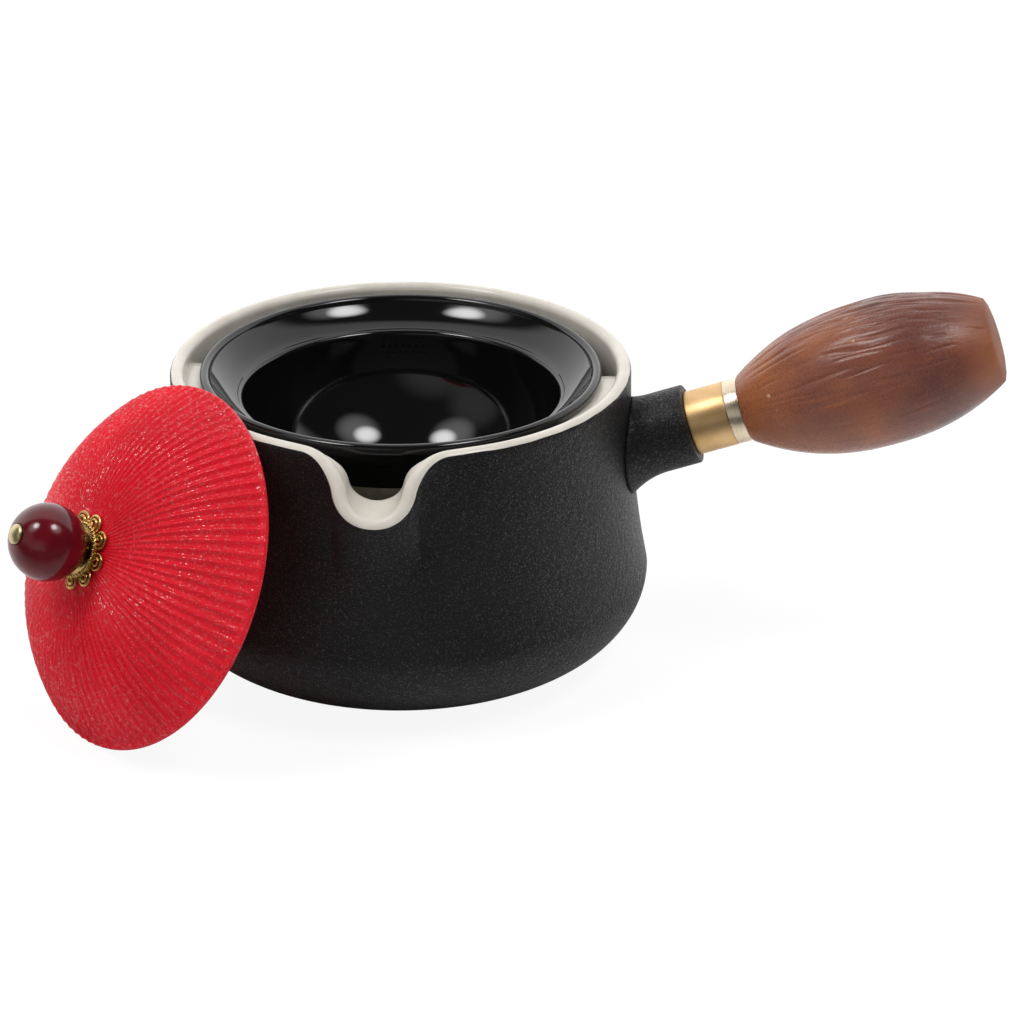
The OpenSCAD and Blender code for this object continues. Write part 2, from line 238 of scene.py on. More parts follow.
lining = smooth_finish("white_lining_glaze", GLAZE_POOL, "cfc8bd", "dbd5cb", (0.18, 0.3), (0.5, 0.2),
                       detail=4, IOR=1.5)
print("made", lining.name)

# %% [markdown]
# ## Mirror black glaze
# The inner bowl has a thick glossy black glaze. Nearly all that the eye gets from it is reflection, so
# its colour is almost black and its roughness is close to polished glass. The glaze flowed, so its
# surface swells a little.

# %% Mirror black glaze
GLAZE_SWELL = 16

black_glaze = smooth_finish("mirror_black_glaze", GLAZE_SWELL, "0d0d0d", "121212", (0.03, 0.08), (0.4, 0.12),
                            detail=1, IOR=1.52)
print("made", black_glaze.name)

# %% [markdown]
# ## Gritty red glaze
# The lid is porcelain under a red glaze with fine crystals in it. Each crystal is a tiny facet, so the
# surface glitters where it leans towards the light and looks like satin elsewhere. Each cell of a Voronoi
# pattern stands for a crystal: the cell's own random colour decides whether it flashes, and noise of the
# same size roughens the surface. Real crystals are finer still. They are drawn 0.3 mm wide, about the
# least that shows in the picture.

# %% Gritty red glaze
CRYSTAL = 0.3
RED_CLOUD = 15


def gritty_red():
    started = start_clouded("gritty_red_glaze", RED_CLOUD, "cc0f22", "dc162a", IOR=1.5)
    material, tree, shader, place, _ = started
    crystal = add(tree, "ShaderNodeTexVoronoi", {"Scale": per(CRYSTAL)}, {"Vector": place})
    chance = crystal.outputs["Color"]
    grit = add(tree, "ShaderNodeTexNoise", {"Scale": per(CRYSTAL), "Detail": 2}, {"Vector": place})
    few = {"From Min": 0.7, "From Max": 0.84}
    flash = add(tree, "ShaderNodeMapRange", {**few, "To Min": 0.2, "To Max": 1.9}, {"Value": chance})
    gloss = add(tree, "ShaderNodeMapRange", {**few, "To Min": 0.5, "To Max": 0.22}, {"Value": chance})
    raised = {0: crystal.outputs["Distance"], 2: grit}
    height = add(tree, "ShaderNodeMath", {1: 0.5}, raised, operation="MULTIPLY_ADD")
    bump = add(tree, "ShaderNodeBump", {"Strength": 1.0, "Distance": 0.02 * MM}, {"Height": height})
    link(tree, shader, {"Specular IOR Level": flash, "Roughness": gloss, "Normal": bump})
    return material


red_glaze = gritty_red()
print("made", red_glaze.name, "with crystals of", CRYSTAL, "mm")

# %% [markdown]
# ## Brass, gilt and steel
# The metals differ in colour and in how they were finished. Turning and brushing leave fine rings around
# the axis, casting and gilding leave soft hollows, and polishing leaves next to nothing. They share one
# recipe: a metal colour that varies a little, and a bump of rings or of soft cast grain. The rings of a
# real lathe are about 0.1 mm apart, too fine to show, so they are drawn 0.35 mm apart.

# %% Metals
LATHE_RINGS = 0.35
RING_SWAY = 40
CAST_GRAIN = 0.9
TARNISH = 6


def metal(name, dark, light, roughness, spread, depth, ringed):
    """A metal between two colours. Ringed ones carry rings around the handle's axis, others a cast grain."""
    started = start_clouded(name, TARNISH, dark, light, on_handle=True, Metallic=1.0)
    material, tree, shader, place, _ = started
    spacing = (RING_SWAY, RING_SWAY, LATHE_RINGS) if ringed else (CAST_GRAIN,) * 3
    stretch = {"Scale": [per(s) for s in spacing]}
    stretched = add(tree, "ShaderNodeMapping", stretch, {"Vector": place})
    marks = add(tree, "ShaderNodeTexNoise", {"Scale": 1.0, "Detail": 3}, {"Vector": stretched})
    ends = {"To Min": roughness - spread, "To Max": roughness + spread}
    gloss = add(tree, "ShaderNodeMapRange", ends, {"Value": marks})
    bump = add(tree, "ShaderNodeBump", {"Strength": 0.5, "Distance": depth * MM}, {"Height": marks})
    link(tree, shader, {"Roughness": gloss, "Normal": bump})
    return material


brushed_brass = metal("brushed_brass", "d6ad74", "eac592", 0.4, 0.1, 0.04, ringed=True)
pale_brass = metal("polished_pale_brass", "e6d3b5", "f2e3ca", 0.26, 0.06, 0.03, ringed=True)
gilt_brass = metal("gilt_cast_brass", "b58f45", "ecd084", 0.27, 0.1, 0.06, ringed=False)
pin_brass = metal("polished_pin_brass", "c4b180", "dccca0", 0.3, 0.06, 0.03, ringed=False)
turned_brass = metal("turned_brass", "ad8547", "c7a05c", 0.32, 0.08, 0.03, ringed=True)
turned_steel = metal("turned_steel", "8d9093", "a9acae", 0.34, 0.08, 0.03, ringed=True)
metals = (brushed_brass, pale_brass, gilt_brass, pin_brass, turned_brass, turned_steel)
print("made", [m.name for m in metals])

# %% [markdown]
# ## Stained wood
# The grip is turned hardwood, carved a little, stained dark and finished with satin lacquer. The stain is
# cloudy and a touch darker on the upper side, and it thins out on the tip, where the end grain stays matt.
# Towards the neck the colour is painted lighter and more orange, a painted light for the sheen of the left
# lamp. Grain runs along the handle, which is the Z axis of the grip's own frame, with X pointing down. The
# pores are drawn 0.45 mm wide, coarser than real ones, so that they show.

# %% Stained wood
GRAIN_ACROSS = 0.8
GRAIN_ALONG = 14
STAIN_CLOUD = 15
PORE = 0.45
GRIP_R = 15
UNDER_FADE = (-GRIP_R, 0.3 * GRIP_R)
NECK_PAINTED_LIGHT = (25, 65)
TIP_FADE = (70, 77)
MATT_TIP = 1.6
STAINS = [(0.08, srgb("593735")), (0.34, srgb("7e4937")), (0.54, srgb("985a38")), (0.95, srgb("ad6f42"))]


def stained_wood():
    material, tree, shader, place = start_material("stained_lacquered_wood", IOR=1.48)
    place = along_handle(tree, place)
    axes = add(tree, "ShaderNodeSeparateXYZ", None, {"Vector": place})
    faded = []
    # The neck fade is painted light: the grip turns lighter and more orange towards the neck, where the left
    # lamp's sheen falls.
    for axis, span, first, last in (("X", UNDER_FADE, -0.36, -0.33), ("Z", TIP_FADE, 0, 0.2),
                                    ("Z", NECK_PAINTED_LIGHT, 0.3, -0.02)):
        fade = {"From Min": span[0] * MM, "From Max": span[1] * MM, "To Min": first, "To Max": last}
        faded.append(add(tree, "ShaderNodeMapRange", fade, {"Value": axes.outputs[axis]}))
    under, tip, neck_light = faded
    cloud = add(tree, "ShaderNodeTexNoise", {"Scale": per(STAIN_CLOUD), "Detail": 2}, {"Vector": place})
    stretch = {"Scale": (per(GRAIN_ACROSS), per(GRAIN_ACROSS), per(GRAIN_ALONG))}
    stretched = add(tree, "ShaderNodeMapping", stretch, {"Vector": place})
    grain = add(tree, "ShaderNodeTexNoise", {"Scale": 1.0, "Detail": 3}, {"Vector": stretched})
    pores = add(tree, "ShaderNodeTexNoise", {"Scale": per(PORE), "Detail": 2}, {"Vector": place})
    thin = add(tree, "ShaderNodeMath", None, {0: under, 1: tip}, operation="ADD")
    thin = add(tree, "ShaderNodeMath", None, {0: thin, 1: neck_light}, operation="ADD")
    for source, weight in ((cloud, 0.75), (grain, 0.2), (pores, 0.18)):
        thin = add(tree, "ShaderNodeMath", {1: weight}, {0: source, 2: thin}, operation="MULTIPLY_ADD")
    tone = add(tree, "ShaderNodeValToRGB", None, {"Fac": thin}, STAINS)
    satin = add(tree, "ShaderNodeMapRange", {"To Min": 0.22, "To Max": 0.34}, {"Value": pores})
    gloss = add(tree, "ShaderNodeMath", {1: MATT_TIP}, {0: tip, 2: satin}, operation="MULTIPLY_ADD")
    relief = add(tree, "ShaderNodeMath", {1: 0.4}, {0: pores, 2: grain}, operation="MULTIPLY_ADD")
    bump = add(tree, "ShaderNodeBump", {"Strength": 0.6, "Distance": 0.1 * MM}, {"Height": relief})
    link(tree, shader, {"Base Color": tone, "Roughness": gloss, "Normal": bump})
    return material


wood = stained_wood()
print("made", wood.name)

# %% [markdown]
# ## Red bead, soft washer, bare clay and bare wood
# The bead on the lid is polished dark red glass, so deep that it reads as opaque: what shows is its gloss.
# The washer inside the lid is pale silicone rubber, matt with a faint bloom. Below its glaze the inner bowl
# is bare fired clay, dry, and painted paler than such clay as a painted light for what the white channel
# throws on it. Where the grip is chipped the wood is bare, pale and dull. Faint clouds are enough for all
# four.

# %% Bead, washer, clay and wood
BEAD_CLOUD = 5
FINE_CLOUD = 2

bead_glass = smooth_finish("polished_red_glass", BEAD_CLOUD, "4c0710", "640b18", (0.104, 0.156), IOR=1.52)
washer_rubber = smooth_finish("pale_silicone_rubber", FINE_CLOUD, "cfcac0", "dcd8d0", (0.48, 0.72), IOR=1.42)
# The bare clay is painted paler than fired clay: painted light for what the white channel throws on it.
bare_clay_painted_light = smooth_finish("bare_clay_with_painted_light", FINE_CLOUD, "a19d88", "b3af9a", (0.64, 0.96), IOR=1.45)
bare_wood = smooth_finish("bare_pale_wood", FINE_CLOUD, "b58660", "cda37a", (0.48, 0.72), IOR=1.45)
print("made", [m.name for m in (bead_glass, washer_rubber, bare_clay_painted_light, bare_wood)])

# %% [markdown]
# ## Skins from rows of points
# Every round piece below is a skin over rows of points: each row is a ring, neighbouring rings are joined
# with four cornered faces, and a row of a single point closes the skin like a pole. A lathe is the plain
# case, where a profile of radius and height is turned about an axis. `soften` rounds the corners of a
# profile, because real edges are never sharp and a rounded edge is what catches the light.

# %% Helpers for skins
def circle(count):
    """Angles evenly around a full turn."""
    return np.linspace(0, 2 * np.pi, count, endpoint=False)


def pole(height):
    """A row of one point on the Z axis."""
    return np.array([[0.0, 0.0, height]])


def hoop(radius, height, angles):
    """A row of points about Z. Radius and height may vary with the angle."""
    return np.stack([radius * np.cos(angles), radius * np.sin(angles), height + 0 * angles], 1)


def turn(profile, columns=128):
    """Rows for a profile of (radius, height) pairs turned about Z."""
    angles = circle(columns)
    return [hoop(radius, height, angles) if radius > 1e-6 else pole(height) for radius, height in profile]


def skin(rows, loop=False):
    """Points and faces over rows of points; loop joins the last row to the first."""
    starts = np.cumsum([0] + [len(row) for row in rows])
    joined = list(range(1, len(rows)))
    if loop:
        joined.append(0)
    faces = []
    for a, b in enumerate(joined):
        size_a = len(rows[a])
        size_b = len(rows[b])
        count = max(size_a, size_b)
        for j in range(count):
            k = (j + 1) % count
            corners = (starts[a] + j % size_a, starts[a] + k % size_a,
                       starts[b] + k % size_b, starts[b] + j % size_b)
            faces.append(tuple(dict.fromkeys(int(c) for c in corners)))
    return np.concatenate(rows), faces


def soften(points, radius, steps=4, closed=False):
    """The outline with each corner replaced by a curve that starts and ends radius away from it."""
    points = [np.array(p, float) for p in points]
    count = len(points)
    made = []
    for i, corner in enumerate(points):
        if not closed and i in (0, count - 1):
            made.append(corner)
            continue
        ends = []
        for other in (points[i - 1], points[(i + 1) % count]):
            reach = np.linalg.norm(other - corner)
            ends.append(corner + (other - corner) / reach * min(radius, 0.45 * reach))
        for t in np.linspace(0, 1, steps):
            made.append((1 - t) ** 2 * ends[0] + 2 * t * (1 - t) * corner + t ** 2 * ends[1])
    return made


print("a cone has", len(skin(turn([(0, 0), (5, 0), (0, 9)]))[1]), "faces")

# %% [markdown]
# ## From skin to piece
# A skin becomes a piece of the teapot in one step: its points are scaled to metres, turned into place and
# made into a mesh with outward normals, the piece is told which body it moves with, and the packed solid it
# stands for is hidden.

# %% Helper for pieces
def piece(name, surface, materials, body, replaced, place=Matrix.Identity(4), paint=None):
    """A smooth shaded piece from a skin in millimetres. Place carries its points from the frame they were
    drawn in to that of the teapot, and paint gives each face its material."""
    points, faces = surface
    mesh = bpy.data.meshes.new(name)
    turned = np.array(place)
    mesh.from_pydata(points * MM @ turned[:3, :3].T + turned[:3, 3], [], faces)
    for material in materials:
        mesh.materials.append(material)
    if paint is not None:
        mesh.polygons.foreach_set("material_index", np.asarray(paint, np.int32))
    shape = bmesh.new()
    shape.from_mesh(mesh)
    bmesh.ops.recalc_face_normals(shape, faces=shape.faces)
    shape.to_mesh(mesh)
    shape.free()
    mesh.shade_smooth()
    made = new_object(name, mesh)
    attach(made, body)
    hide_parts(replaced)
    print(name, "has", len(mesh.polygons), "faces")
    return made


# %% [markdown]
# ## The wall of the pot
# The pot is thrown on a wheel, so its wall is one curve: a foot, a full belly low down, and an upper wall
# that draws in towards the rim. A lathe alone can't make it, because the spout breaks the round. So the
# curve is a formula that each column of points can follow up to its own height.

# %% Measures of the pot
RIM_R = 47
POT_H = 62.5
BELLY_R = 50.78
BELLY_Z = 18.5
WALL = 3
FOOT_R = 31
FOOT_H = 1.7
FOOT_W = 5
FLOOR_Z = 5.2
WALL_BOW = 2.3
LIP_R = WALL / 2


def wall_out(z):
    """Outer radius of the wall at height z."""
    upper = RIM_R + (BELLY_R - RIM_R) * np.clip((POT_H - z) / (POT_H - BELLY_Z), 0, 1) ** WALL_BOW
    round_part = np.sqrt(np.clip(1 - ((BELLY_Z - z) / (BELLY_Z - FOOT_H)) ** 2, 0, 1))
    return np.where(z >= BELLY_Z, upper, FOOT_R + (BELLY_R - FOOT_R) * round_part)


print("belly", 2 * BELLY_R, "mm across, rim", 2 * RIM_R, "mm across at", POT_H, "mm")

# %% [markdown]
# ## The pulled spout
# A potter makes this spout by pressing two fingers under the soft rim and pulling a third over it. The
# lip stays the same rope of clay: it only dives, bulges out and comes back. So the lip is drawn first, as
# one line. From the bottom of the notch it climbs one arc, turns over the shoulder on a second arc, and
# runs on around the rim. Each column of the pot's skin then hangs from its own point on that line.

# %% The line of the lip
SPOUT_W = 11
SPOUT_DROP = 11.8
SPOUT_PUSH = 5.3
PUSH_BOW = 1.3
SHOULDER_R = 9
PULL_LENGTH = 26
LIP_RING = RIM_R - LIP_R
LOW_ARC = SPOUT_W / 2 + LIP_R
HIGH_ARC = SHOULDER_R - LIP_R
LOW_Z = POT_H - SPOUT_DROP + SPOUT_W / 2
HIGH_Z = POT_H - SHOULDER_R
HIGH_X = math.sqrt((LOW_ARC + HIGH_ARC) ** 2 - (LOW_Z - HIGH_Z) ** 2)
ARC_LEAN = math.atan2(LOW_Z - HIGH_Z, HIGH_X)
ARC_SWEEP = math.pi / 2 - ARC_LEAN
ARCS_LENGTH = (LOW_ARC + HIGH_ARC) * ARC_SWEEP


def lip_line(q):
    """Angle from the spout, height and outward push of the lip at distance q from the notch's bottom."""
    way = np.abs(q)
    low = np.clip(way / LOW_ARC, 0, ARC_SWEEP)
    high = np.clip((way - LOW_ARC * ARC_SWEEP) / HIGH_ARC, 0, ARC_SWEEP)
    on_low = way < LOW_ARC * ARC_SWEEP
    x = np.where(on_low, LOW_ARC * np.sin(low), HIGH_X - HIGH_ARC * np.cos(ARC_LEAN + high))
    z = np.where(on_low, LOW_Z - LOW_ARC * np.cos(low), HIGH_Z + HIGH_ARC * np.sin(ARC_LEAN + high))
    angle = np.arcsin(x / LIP_RING) + np.clip(way - ARCS_LENGTH, 0, None) / LIP_RING
    push = SPOUT_PUSH * (0.5 + 0.5 * np.cos(np.pi * np.clip(way / PULL_LENGTH, 0, 1))) ** PUSH_BOW
    return np.sign(q) * angle, z, push


print("the arcs of the notch are", round(ARCS_LENGTH, 1), "mm long on each side")

# %% [markdown]
# ## Columns of the pot
# Around the notch the columns stand close, half a millimetre apart along the lip, and elsewhere every 1.5
# degrees. Further down they all spread evenly, so each column has two angles: one at the lip and one at
# the belly.

# %% Columns along the lip
LIP_STEP = 0.5
COLUMN_STEP = 1.5
PULL_ANGLE = float(lip_line(np.array(PULL_LENGTH))[0])

notch_q = np.linspace(-PULL_LENGTH, PULL_LENGTH, int(2 * PULL_LENGTH / LIP_STEP) + 1)
rest_count = int(round((2 * math.pi - 2 * PULL_ANGLE) / math.radians(COLUMN_STEP)))
rest_angle = np.linspace(PULL_ANGLE, 2 * math.pi - PULL_ANGLE, rest_count + 1)[1:-1]
way = np.concatenate([notch_q, PULL_LENGTH + (rest_angle - PULL_ANGLE) * LIP_RING])
near = np.where(way > PULL_LENGTH, PULL_LENGTH, np.abs(way))
lip_angle, lip_z, lip_push = lip_line(way)
lip_angle[len(notch_q):] = rest_angle
base_angle = np.where(np.abs(way) <= PULL_LENGTH, PULL_ANGLE * way / PULL_LENGTH, lip_angle)
lip = np.stack([LIP_RING * np.sin(lip_angle), -LIP_RING * np.cos(lip_angle) - lip_push, lip_z], 1)
print(len(way), "columns, of which", len(notch_q), "follow the notch, lowest lip", round(lip_z.min(), 2))

# %% [markdown]
# ## The round of the lip
# Around the rim the lip is a half circle that faces up. In the notch it faces forwards, and at the bottom
# it covers less of a circle, because the wall below leans out and the channel behind runs nearly level.
# At each column three directions are needed: along the lip, away from the clay, and to the outside.

# %% Directions at the lip
CROWN_TILT = 28.9
CROWN_FROM = 8
BOTTOM_REACH = 9
OUTER_TRIM = 38
INNER_TRIM = 42


def unit(vectors):
    """Vectors of length one."""
    return vectors / np.linalg.norm(vectors, axis=-1, keepdims=True)


def ease(t):
    """A smooth step from 0 to 1."""
    t = np.clip(t, 0, 1)
    return t * t * (3 - 2 * t)


along = unit(np.roll(lip, -1, 0) - np.roll(lip, 1, 0))
outward = np.stack([np.sin(lip_angle), -np.cos(lip_angle), np.zeros_like(lip_angle)], 1)
upright = ease((near - CROWN_FROM) / (ARCS_LENGTH - CROWN_FROM))
rise = np.radians(CROWN_TILT + (90 - CROWN_TILT) * upright)[:, None]
crown = outward * np.cos(rise) + np.array([0, 0, 1]) * np.sin(rise)
crown = unit(crown - along * np.sum(crown * along, 1, keepdims=True))
outside = np.cross(along, crown)
bottom = 1 - ease(near / BOTTOM_REACH)
lip_start = np.radians(OUTER_TRIM * bottom)[:, None]
lip_end = np.radians(180 - INNER_TRIM * bottom)[:, None]


def on_lip(angle):
    """Points on the round of the lip, at an angle that runs from outside over the crown to inside."""
    return lip + LIP_R * (outside * np.cos(angle) + crown * np.sin(angle))


print("the crown of the lip reaches", round(on_lip(math.pi / 2)[:, 2].max(), 2), "mm")

# %% [markdown]
# ## Beak and glaze line
# Around the front the black outside swells into the spout's beak, a rounded form that leans out. A smooth
# maximum of wall and beak blends the two like wet clay. The white glaze stops just under the lip, where
# it was wiped by hand, so that line wanders by a tenth of a millimetre.

# %% Beak and glaze line
BEAK_R = LOW_ARC + LIP_R
BEAK_LEAN = math.tan(math.radians(24))
BEAK_FRONT = RIM_R + SPOUT_PUSH + 0.2
BEAK_FOOT_Z = POT_H - SPOUT_DROP - LIP_R
BEAK_FALL = 2
BLEND = 9
GLAZE_TURN = 34
GLAZE_TURN_SPOUT = 16
GLAZE_WANDER = 4
WANDER_WAVES = ((7, 0), (17, 1), (41, 2))


def ring(radius, z, angle=base_angle):
    """A row of points around the pot, at angles counted from the spout."""
    return hoop(radius, z, angle - math.pi / 2)


def swell(points):
    """Pushes points of the wall out to the beak of the spout, with a soft blend."""
    x, y, z = points.T
    front = BEAK_FRONT - BEAK_LEAN * (BEAK_FOOT_Z - np.minimum(z, BEAK_FOOT_Z))
    side = np.abs(x) / BEAK_R
    drop = 1 - np.sqrt(np.clip(1 - side ** 2, 0, 1)) + BEAK_FALL * np.clip(side - 1, 0, None)
    beak = front - BEAK_R * drop
    meet = np.clip(1 - np.abs(beak + y) / BLEND, 0, None)
    front_y = np.maximum(-y, beak) + meet ** 3 * BLEND / 6
    return np.stack([x, np.where(y < 0, -front_y, y), z], 1)


wander = sum(np.sin(base_angle * waves + shift) for waves, shift in WANDER_WAVES) / len(WANDER_WAVES)
glaze_turn = GLAZE_TURN + (GLAZE_TURN_SPOUT - GLAZE_TURN) * bottom + GLAZE_WANDER * wander
glaze_line = lip_start + np.radians(glaze_turn)[:, None]
print("the glaze turns over the lip by", round(glaze_turn.min()), "to", round(glaze_turn.max()), "degrees")

# %% [markdown]
# ## Outside of the wall
# The black outside is a stack of rows from the foot over the belly to the glaze line. Between belly and
# lip each row takes a share of the way, so the columns lean over to the notch bit by bit, and what is
# left between wall and lip closes only near the top.

# %% Rows of the outside
FOOT_EDGE = 0.5
BELLY_ROWS = 25
WALL_ROWS = 48
LEAN_BOW = 1.5
CLOSE_BOW = 4


def turned_angle(points):
    """The angle of each point around the pot, counted on from its column's angle at the belly."""
    angle = np.unwrap(np.arctan2(points[:, 0], -points[:, 1]))
    return angle + 2 * np.pi * np.round((base_angle - angle) / (2 * np.pi))


wall_top = on_lip(lip_start)
top_angle = turned_angle(wall_top)
sole = [(0, FOOT_H), (FOOT_R - FOOT_W, FOOT_H), (FOOT_R - FOOT_W, 0), (FOOT_R, 0), (FOOT_R, FOOT_H)]
outer_rows = [pole(FOOT_H)] + [ring(r, z) for r, z in soften(sole, FOOT_EDGE)[1:-1]]
for t in np.linspace(math.pi / 2, 0, BELLY_ROWS):
    radius = FOOT_R + (BELLY_R - FOOT_R) * math.cos(t)
    outer_rows.append(ring(radius, BELLY_Z - (BELLY_Z - FOOT_H) * math.sin(t)))
gap = wall_top - swell(ring(wall_out(wall_top[:, 2]), wall_top[:, 2], top_angle))
for f in np.linspace(0, 1, WALL_ROWS + 1)[1:]:
    z = BELLY_Z + (wall_top[:, 2] - BELLY_Z) * f
    angle = base_angle + (top_angle - base_angle) * f ** LEAN_BOW
    outer_rows.append(swell(ring(wall_out(z), z, angle)) + gap * f ** CLOSE_BOW)
outer_rows += [on_lip(lip_start + (glaze_line - lip_start) * t) for t in (0.25, 0.5, 0.75, 1.0)]
print(len(outer_rows), "rows outside, glaze line at", round(outer_rows[-1][:, 2].max(), 2), "mm")

# %% [markdown]
# ## Inside of the wall
# Behind the lip, the channel runs back and up until it meets the inner wall, and the wall goes down to
# the floor. Around the rest of the rim the channel has no length, so the same rows simply run down the
# wall. First comes the edge where channel and wall meet, found in a few rounds, because the wall's radius
# depends on the height.

# %% Path of the inside
CHANNEL_FALL = math.radians(14)


def wall_in(z):
    """Inner radius of the upper wall at height z."""
    return wall_out(z) - WALL


inner = on_lip(lip_end)
edge_z = inner[:, 2]
for _ in range(3):
    edge_y = -np.sqrt(np.clip(wall_in(edge_z) ** 2 - inner[:, 0] ** 2, 0, None))
    reach = np.where(near < PULL_LENGTH, np.clip(edge_y - inner[:, 1], 0, None), 0)
    edge_z = inner[:, 2] + reach * math.tan(CHANNEL_FALL)
run = reach / math.cos(CHANNEL_FALL)
edge_angle = turned_angle(inner + reach[:, None] * np.array([0, 1, math.tan(CHANNEL_FALL)]))
path_length = run + edge_z - BELLY_Z


def inner_path(length):
    """Points at a length along the path from the lip, over the channel and down the wall."""
    share = np.clip((length - run) / (path_length - run), 0, 1)
    z = edge_z - np.clip(length - run, 0, None)
    on_wall = ring(wall_in(z), z, edge_angle + (base_angle - edge_angle) * ease(share))
    back = np.minimum(length, run)[:, None] * np.array([0, math.cos(CHANNEL_FALL), math.sin(CHANNEL_FALL)])
    return np.where((length < run)[:, None], inner + back, on_wall)


print("the channel is", round(float(run.max()), 1), "mm long")

# %% [markdown]
# ## Rows of the inside
# Averaging a short stretch of the path around each row rounds the edge between channel and wall, as a wet
# finger would. The rows lie close near the lip, where the form is tight, and further apart below.

# %% Rows of the inside
EDGE_ROUND = 1.6
EDGE_SAMPLES = 9
CLOSE_SHARE = 0.32
CLOSE_ROWS = 32
LOWER_ROWS = 18
BASE_ROWS = 20

close = np.linspace(0, CLOSE_SHARE, CLOSE_ROWS + 1)[1:]
lower = np.linspace(CLOSE_SHARE, 1, LOWER_ROWS + 1)[1:]
inner_rows = []
for share in np.concatenate([close, lower]):
    middle = share * path_length
    span = np.minimum(EDGE_ROUND, np.minimum(middle, path_length - middle))
    samples = [inner_path(middle + span * s) for s in np.linspace(-1, 1, EDGE_SAMPLES)]
    inner_rows.append(np.mean(samples, 0))
for t in np.linspace(0, math.pi / 2, BASE_ROWS + 1)[1:]:
    radius = FOOT_R + (BELLY_R - WALL - FOOT_R) * math.cos(t)
    inner_rows.append(ring(radius, BELLY_Z - (BELLY_Z - FLOOR_Z) * math.sin(t)))
inner_rows += [ring(FOOT_R * share, FLOOR_Z) for share in (0.75, 0.5, 0.25)] + [pole(FLOOR_Z)]
print(len(inner_rows), "rows inside")

# %% [markdown]
# ## One skin for the pot
# Foot, wall, lip and inside are one piece of clay, so their rows become one skin. The faces below the
# glaze line are black stoneware and all others white. A material for each face keeps that line as crisp
# as the real one, which a painted mask wouldn't.

# %% Skin of the pot
LIP_ROWS = 13

lip_steps = np.linspace(0, 1, LIP_ROWS + 1)[1:]
lip_rows = [on_lip(glaze_line + (lip_end - glaze_line) * t) for t in lip_steps]
points, faces = skin(outer_rows + lip_rows + inner_rows)
white_from = sum(len(row) for row in outer_rows) - len(way)
paint = [int(min(face) >= white_from) for face in faces]
piece("pot_wall", (points, faces), [stoneware, lining], "pot", "pot_body", paint=paint)

# %% [markdown]
# ## Ledges for the inner bowl
# Two short brackets of clay sit on the wall inside the rim, and the rim of the inner bowl rests on them.
# Each is a small wedge swept around the pot's axis, glazed white with the lining.

# %% Ledges
LEDGE_IN = 39.7
LEDGE_OUT = 45.2
LEDGE_TOP = 59.5
LEDGE_T = 1.8
LEDGE_ROOT = 5
LEDGE_EDGE = 0.5
LEDGE_FROM = -30
LEDGE_TO = 5
LEDGE_ROWS = 15

wedge = [(LEDGE_IN, LEDGE_TOP), (LEDGE_OUT, LEDGE_TOP), (LEDGE_OUT, LEDGE_TOP - LEDGE_T - LEDGE_ROOT),
         (LEDGE_IN, LEDGE_TOP - LEDGE_T)]
wedge = soften(wedge, LEDGE_EDGE, closed=True)
for side, label in ((1, "right"), (-1, "left")):
    rows = []
    for angle in np.radians(np.linspace(LEDGE_FROM, LEDGE_TO, LEDGE_ROWS)):
        rows.append(np.array([(side * r * math.cos(angle), r * math.sin(angle), z) for r, z in wedge]))
    rows = [rows[0].mean(0, keepdims=True)] + rows + [rows[-1].mean(0, keepdims=True)]
    piece("ledge_" + label, skin(rows), [lining], "pot", "bowl_ledge_" + label)

# %% [markdown]
# ## Handle socket
# The socket is a turned clay boss that was luted on with slip, so a seam runs around its foot. It is a
# lathe form about the handle's axis whose first row is found on the wall: from each direction the wall is
# searched by halving steps until the surface of the boss meets it.

# %% Where the socket meets the wall
FERRULE_R = 6.6
SOCKET_R = FERRULE_R + 1.6
SOCKET_FLARE = 3.6
FLARE_END = 6
FLARE_LEN = 10
SEARCH_FROM = -6.0
SEARCH_TO = 10.0
HALVINGS = 40
SEAM = 0.03

handle_turn = Matrix.Rotation(math.pi / 2 - HANDLE_TILT, 4, "Y")
handle_frame = Matrix.Translation(HANDLE_AT * MM) @ handle_turn
handle_axis = np.array([math.cos(HANDLE_TILT), 0, math.sin(HANDLE_TILT)])
handle_down = np.array([math.sin(HANDLE_TILT), 0, -math.cos(HANDLE_TILT)])
boss_angles = circle(128)


def socket_out(s):
    """Radius of the boss at distance s from the rim's radius."""
    return SOCKET_R + SOCKET_FLARE * (np.clip(FLARE_END - s, 0, None) / FLARE_LEN) ** 2


def meet_wall(share, angle):
    """Distance along the handle at which a share of the boss's radius meets the wall of the pot."""
    low = np.full_like(angle, SEARCH_FROM)
    high = np.full_like(angle, SEARCH_TO)
    for _ in range(HALVINGS):
        s = (low + high) / 2
        radius = socket_out(s) * share
        x = HANDLE_AT.x + s * handle_axis[0] + radius * np.cos(angle) * handle_down[0]
        y = radius * np.sin(angle)
        z = HANDLE_AT.z + s * handle_axis[2] + radius * np.cos(angle) * handle_down[2]
        inside = np.hypot(x, y) < wall_out(z) + SEAM
        low = np.where(inside, s, low)
        high = np.where(inside, high, s)
    return high


foot = meet_wall(1.0, boss_angles)
print("the seam runs from", round(foot.min(), 2), "to", round(foot.max(), 2), "mm along the handle")

# %% Handle socket
SOCKET_LEN = 13.4
SOCKET_ROUND = 1.2
BORE_R = 4.55
BORE_FLOOR = 4.35
BOSS_ROWS = 20

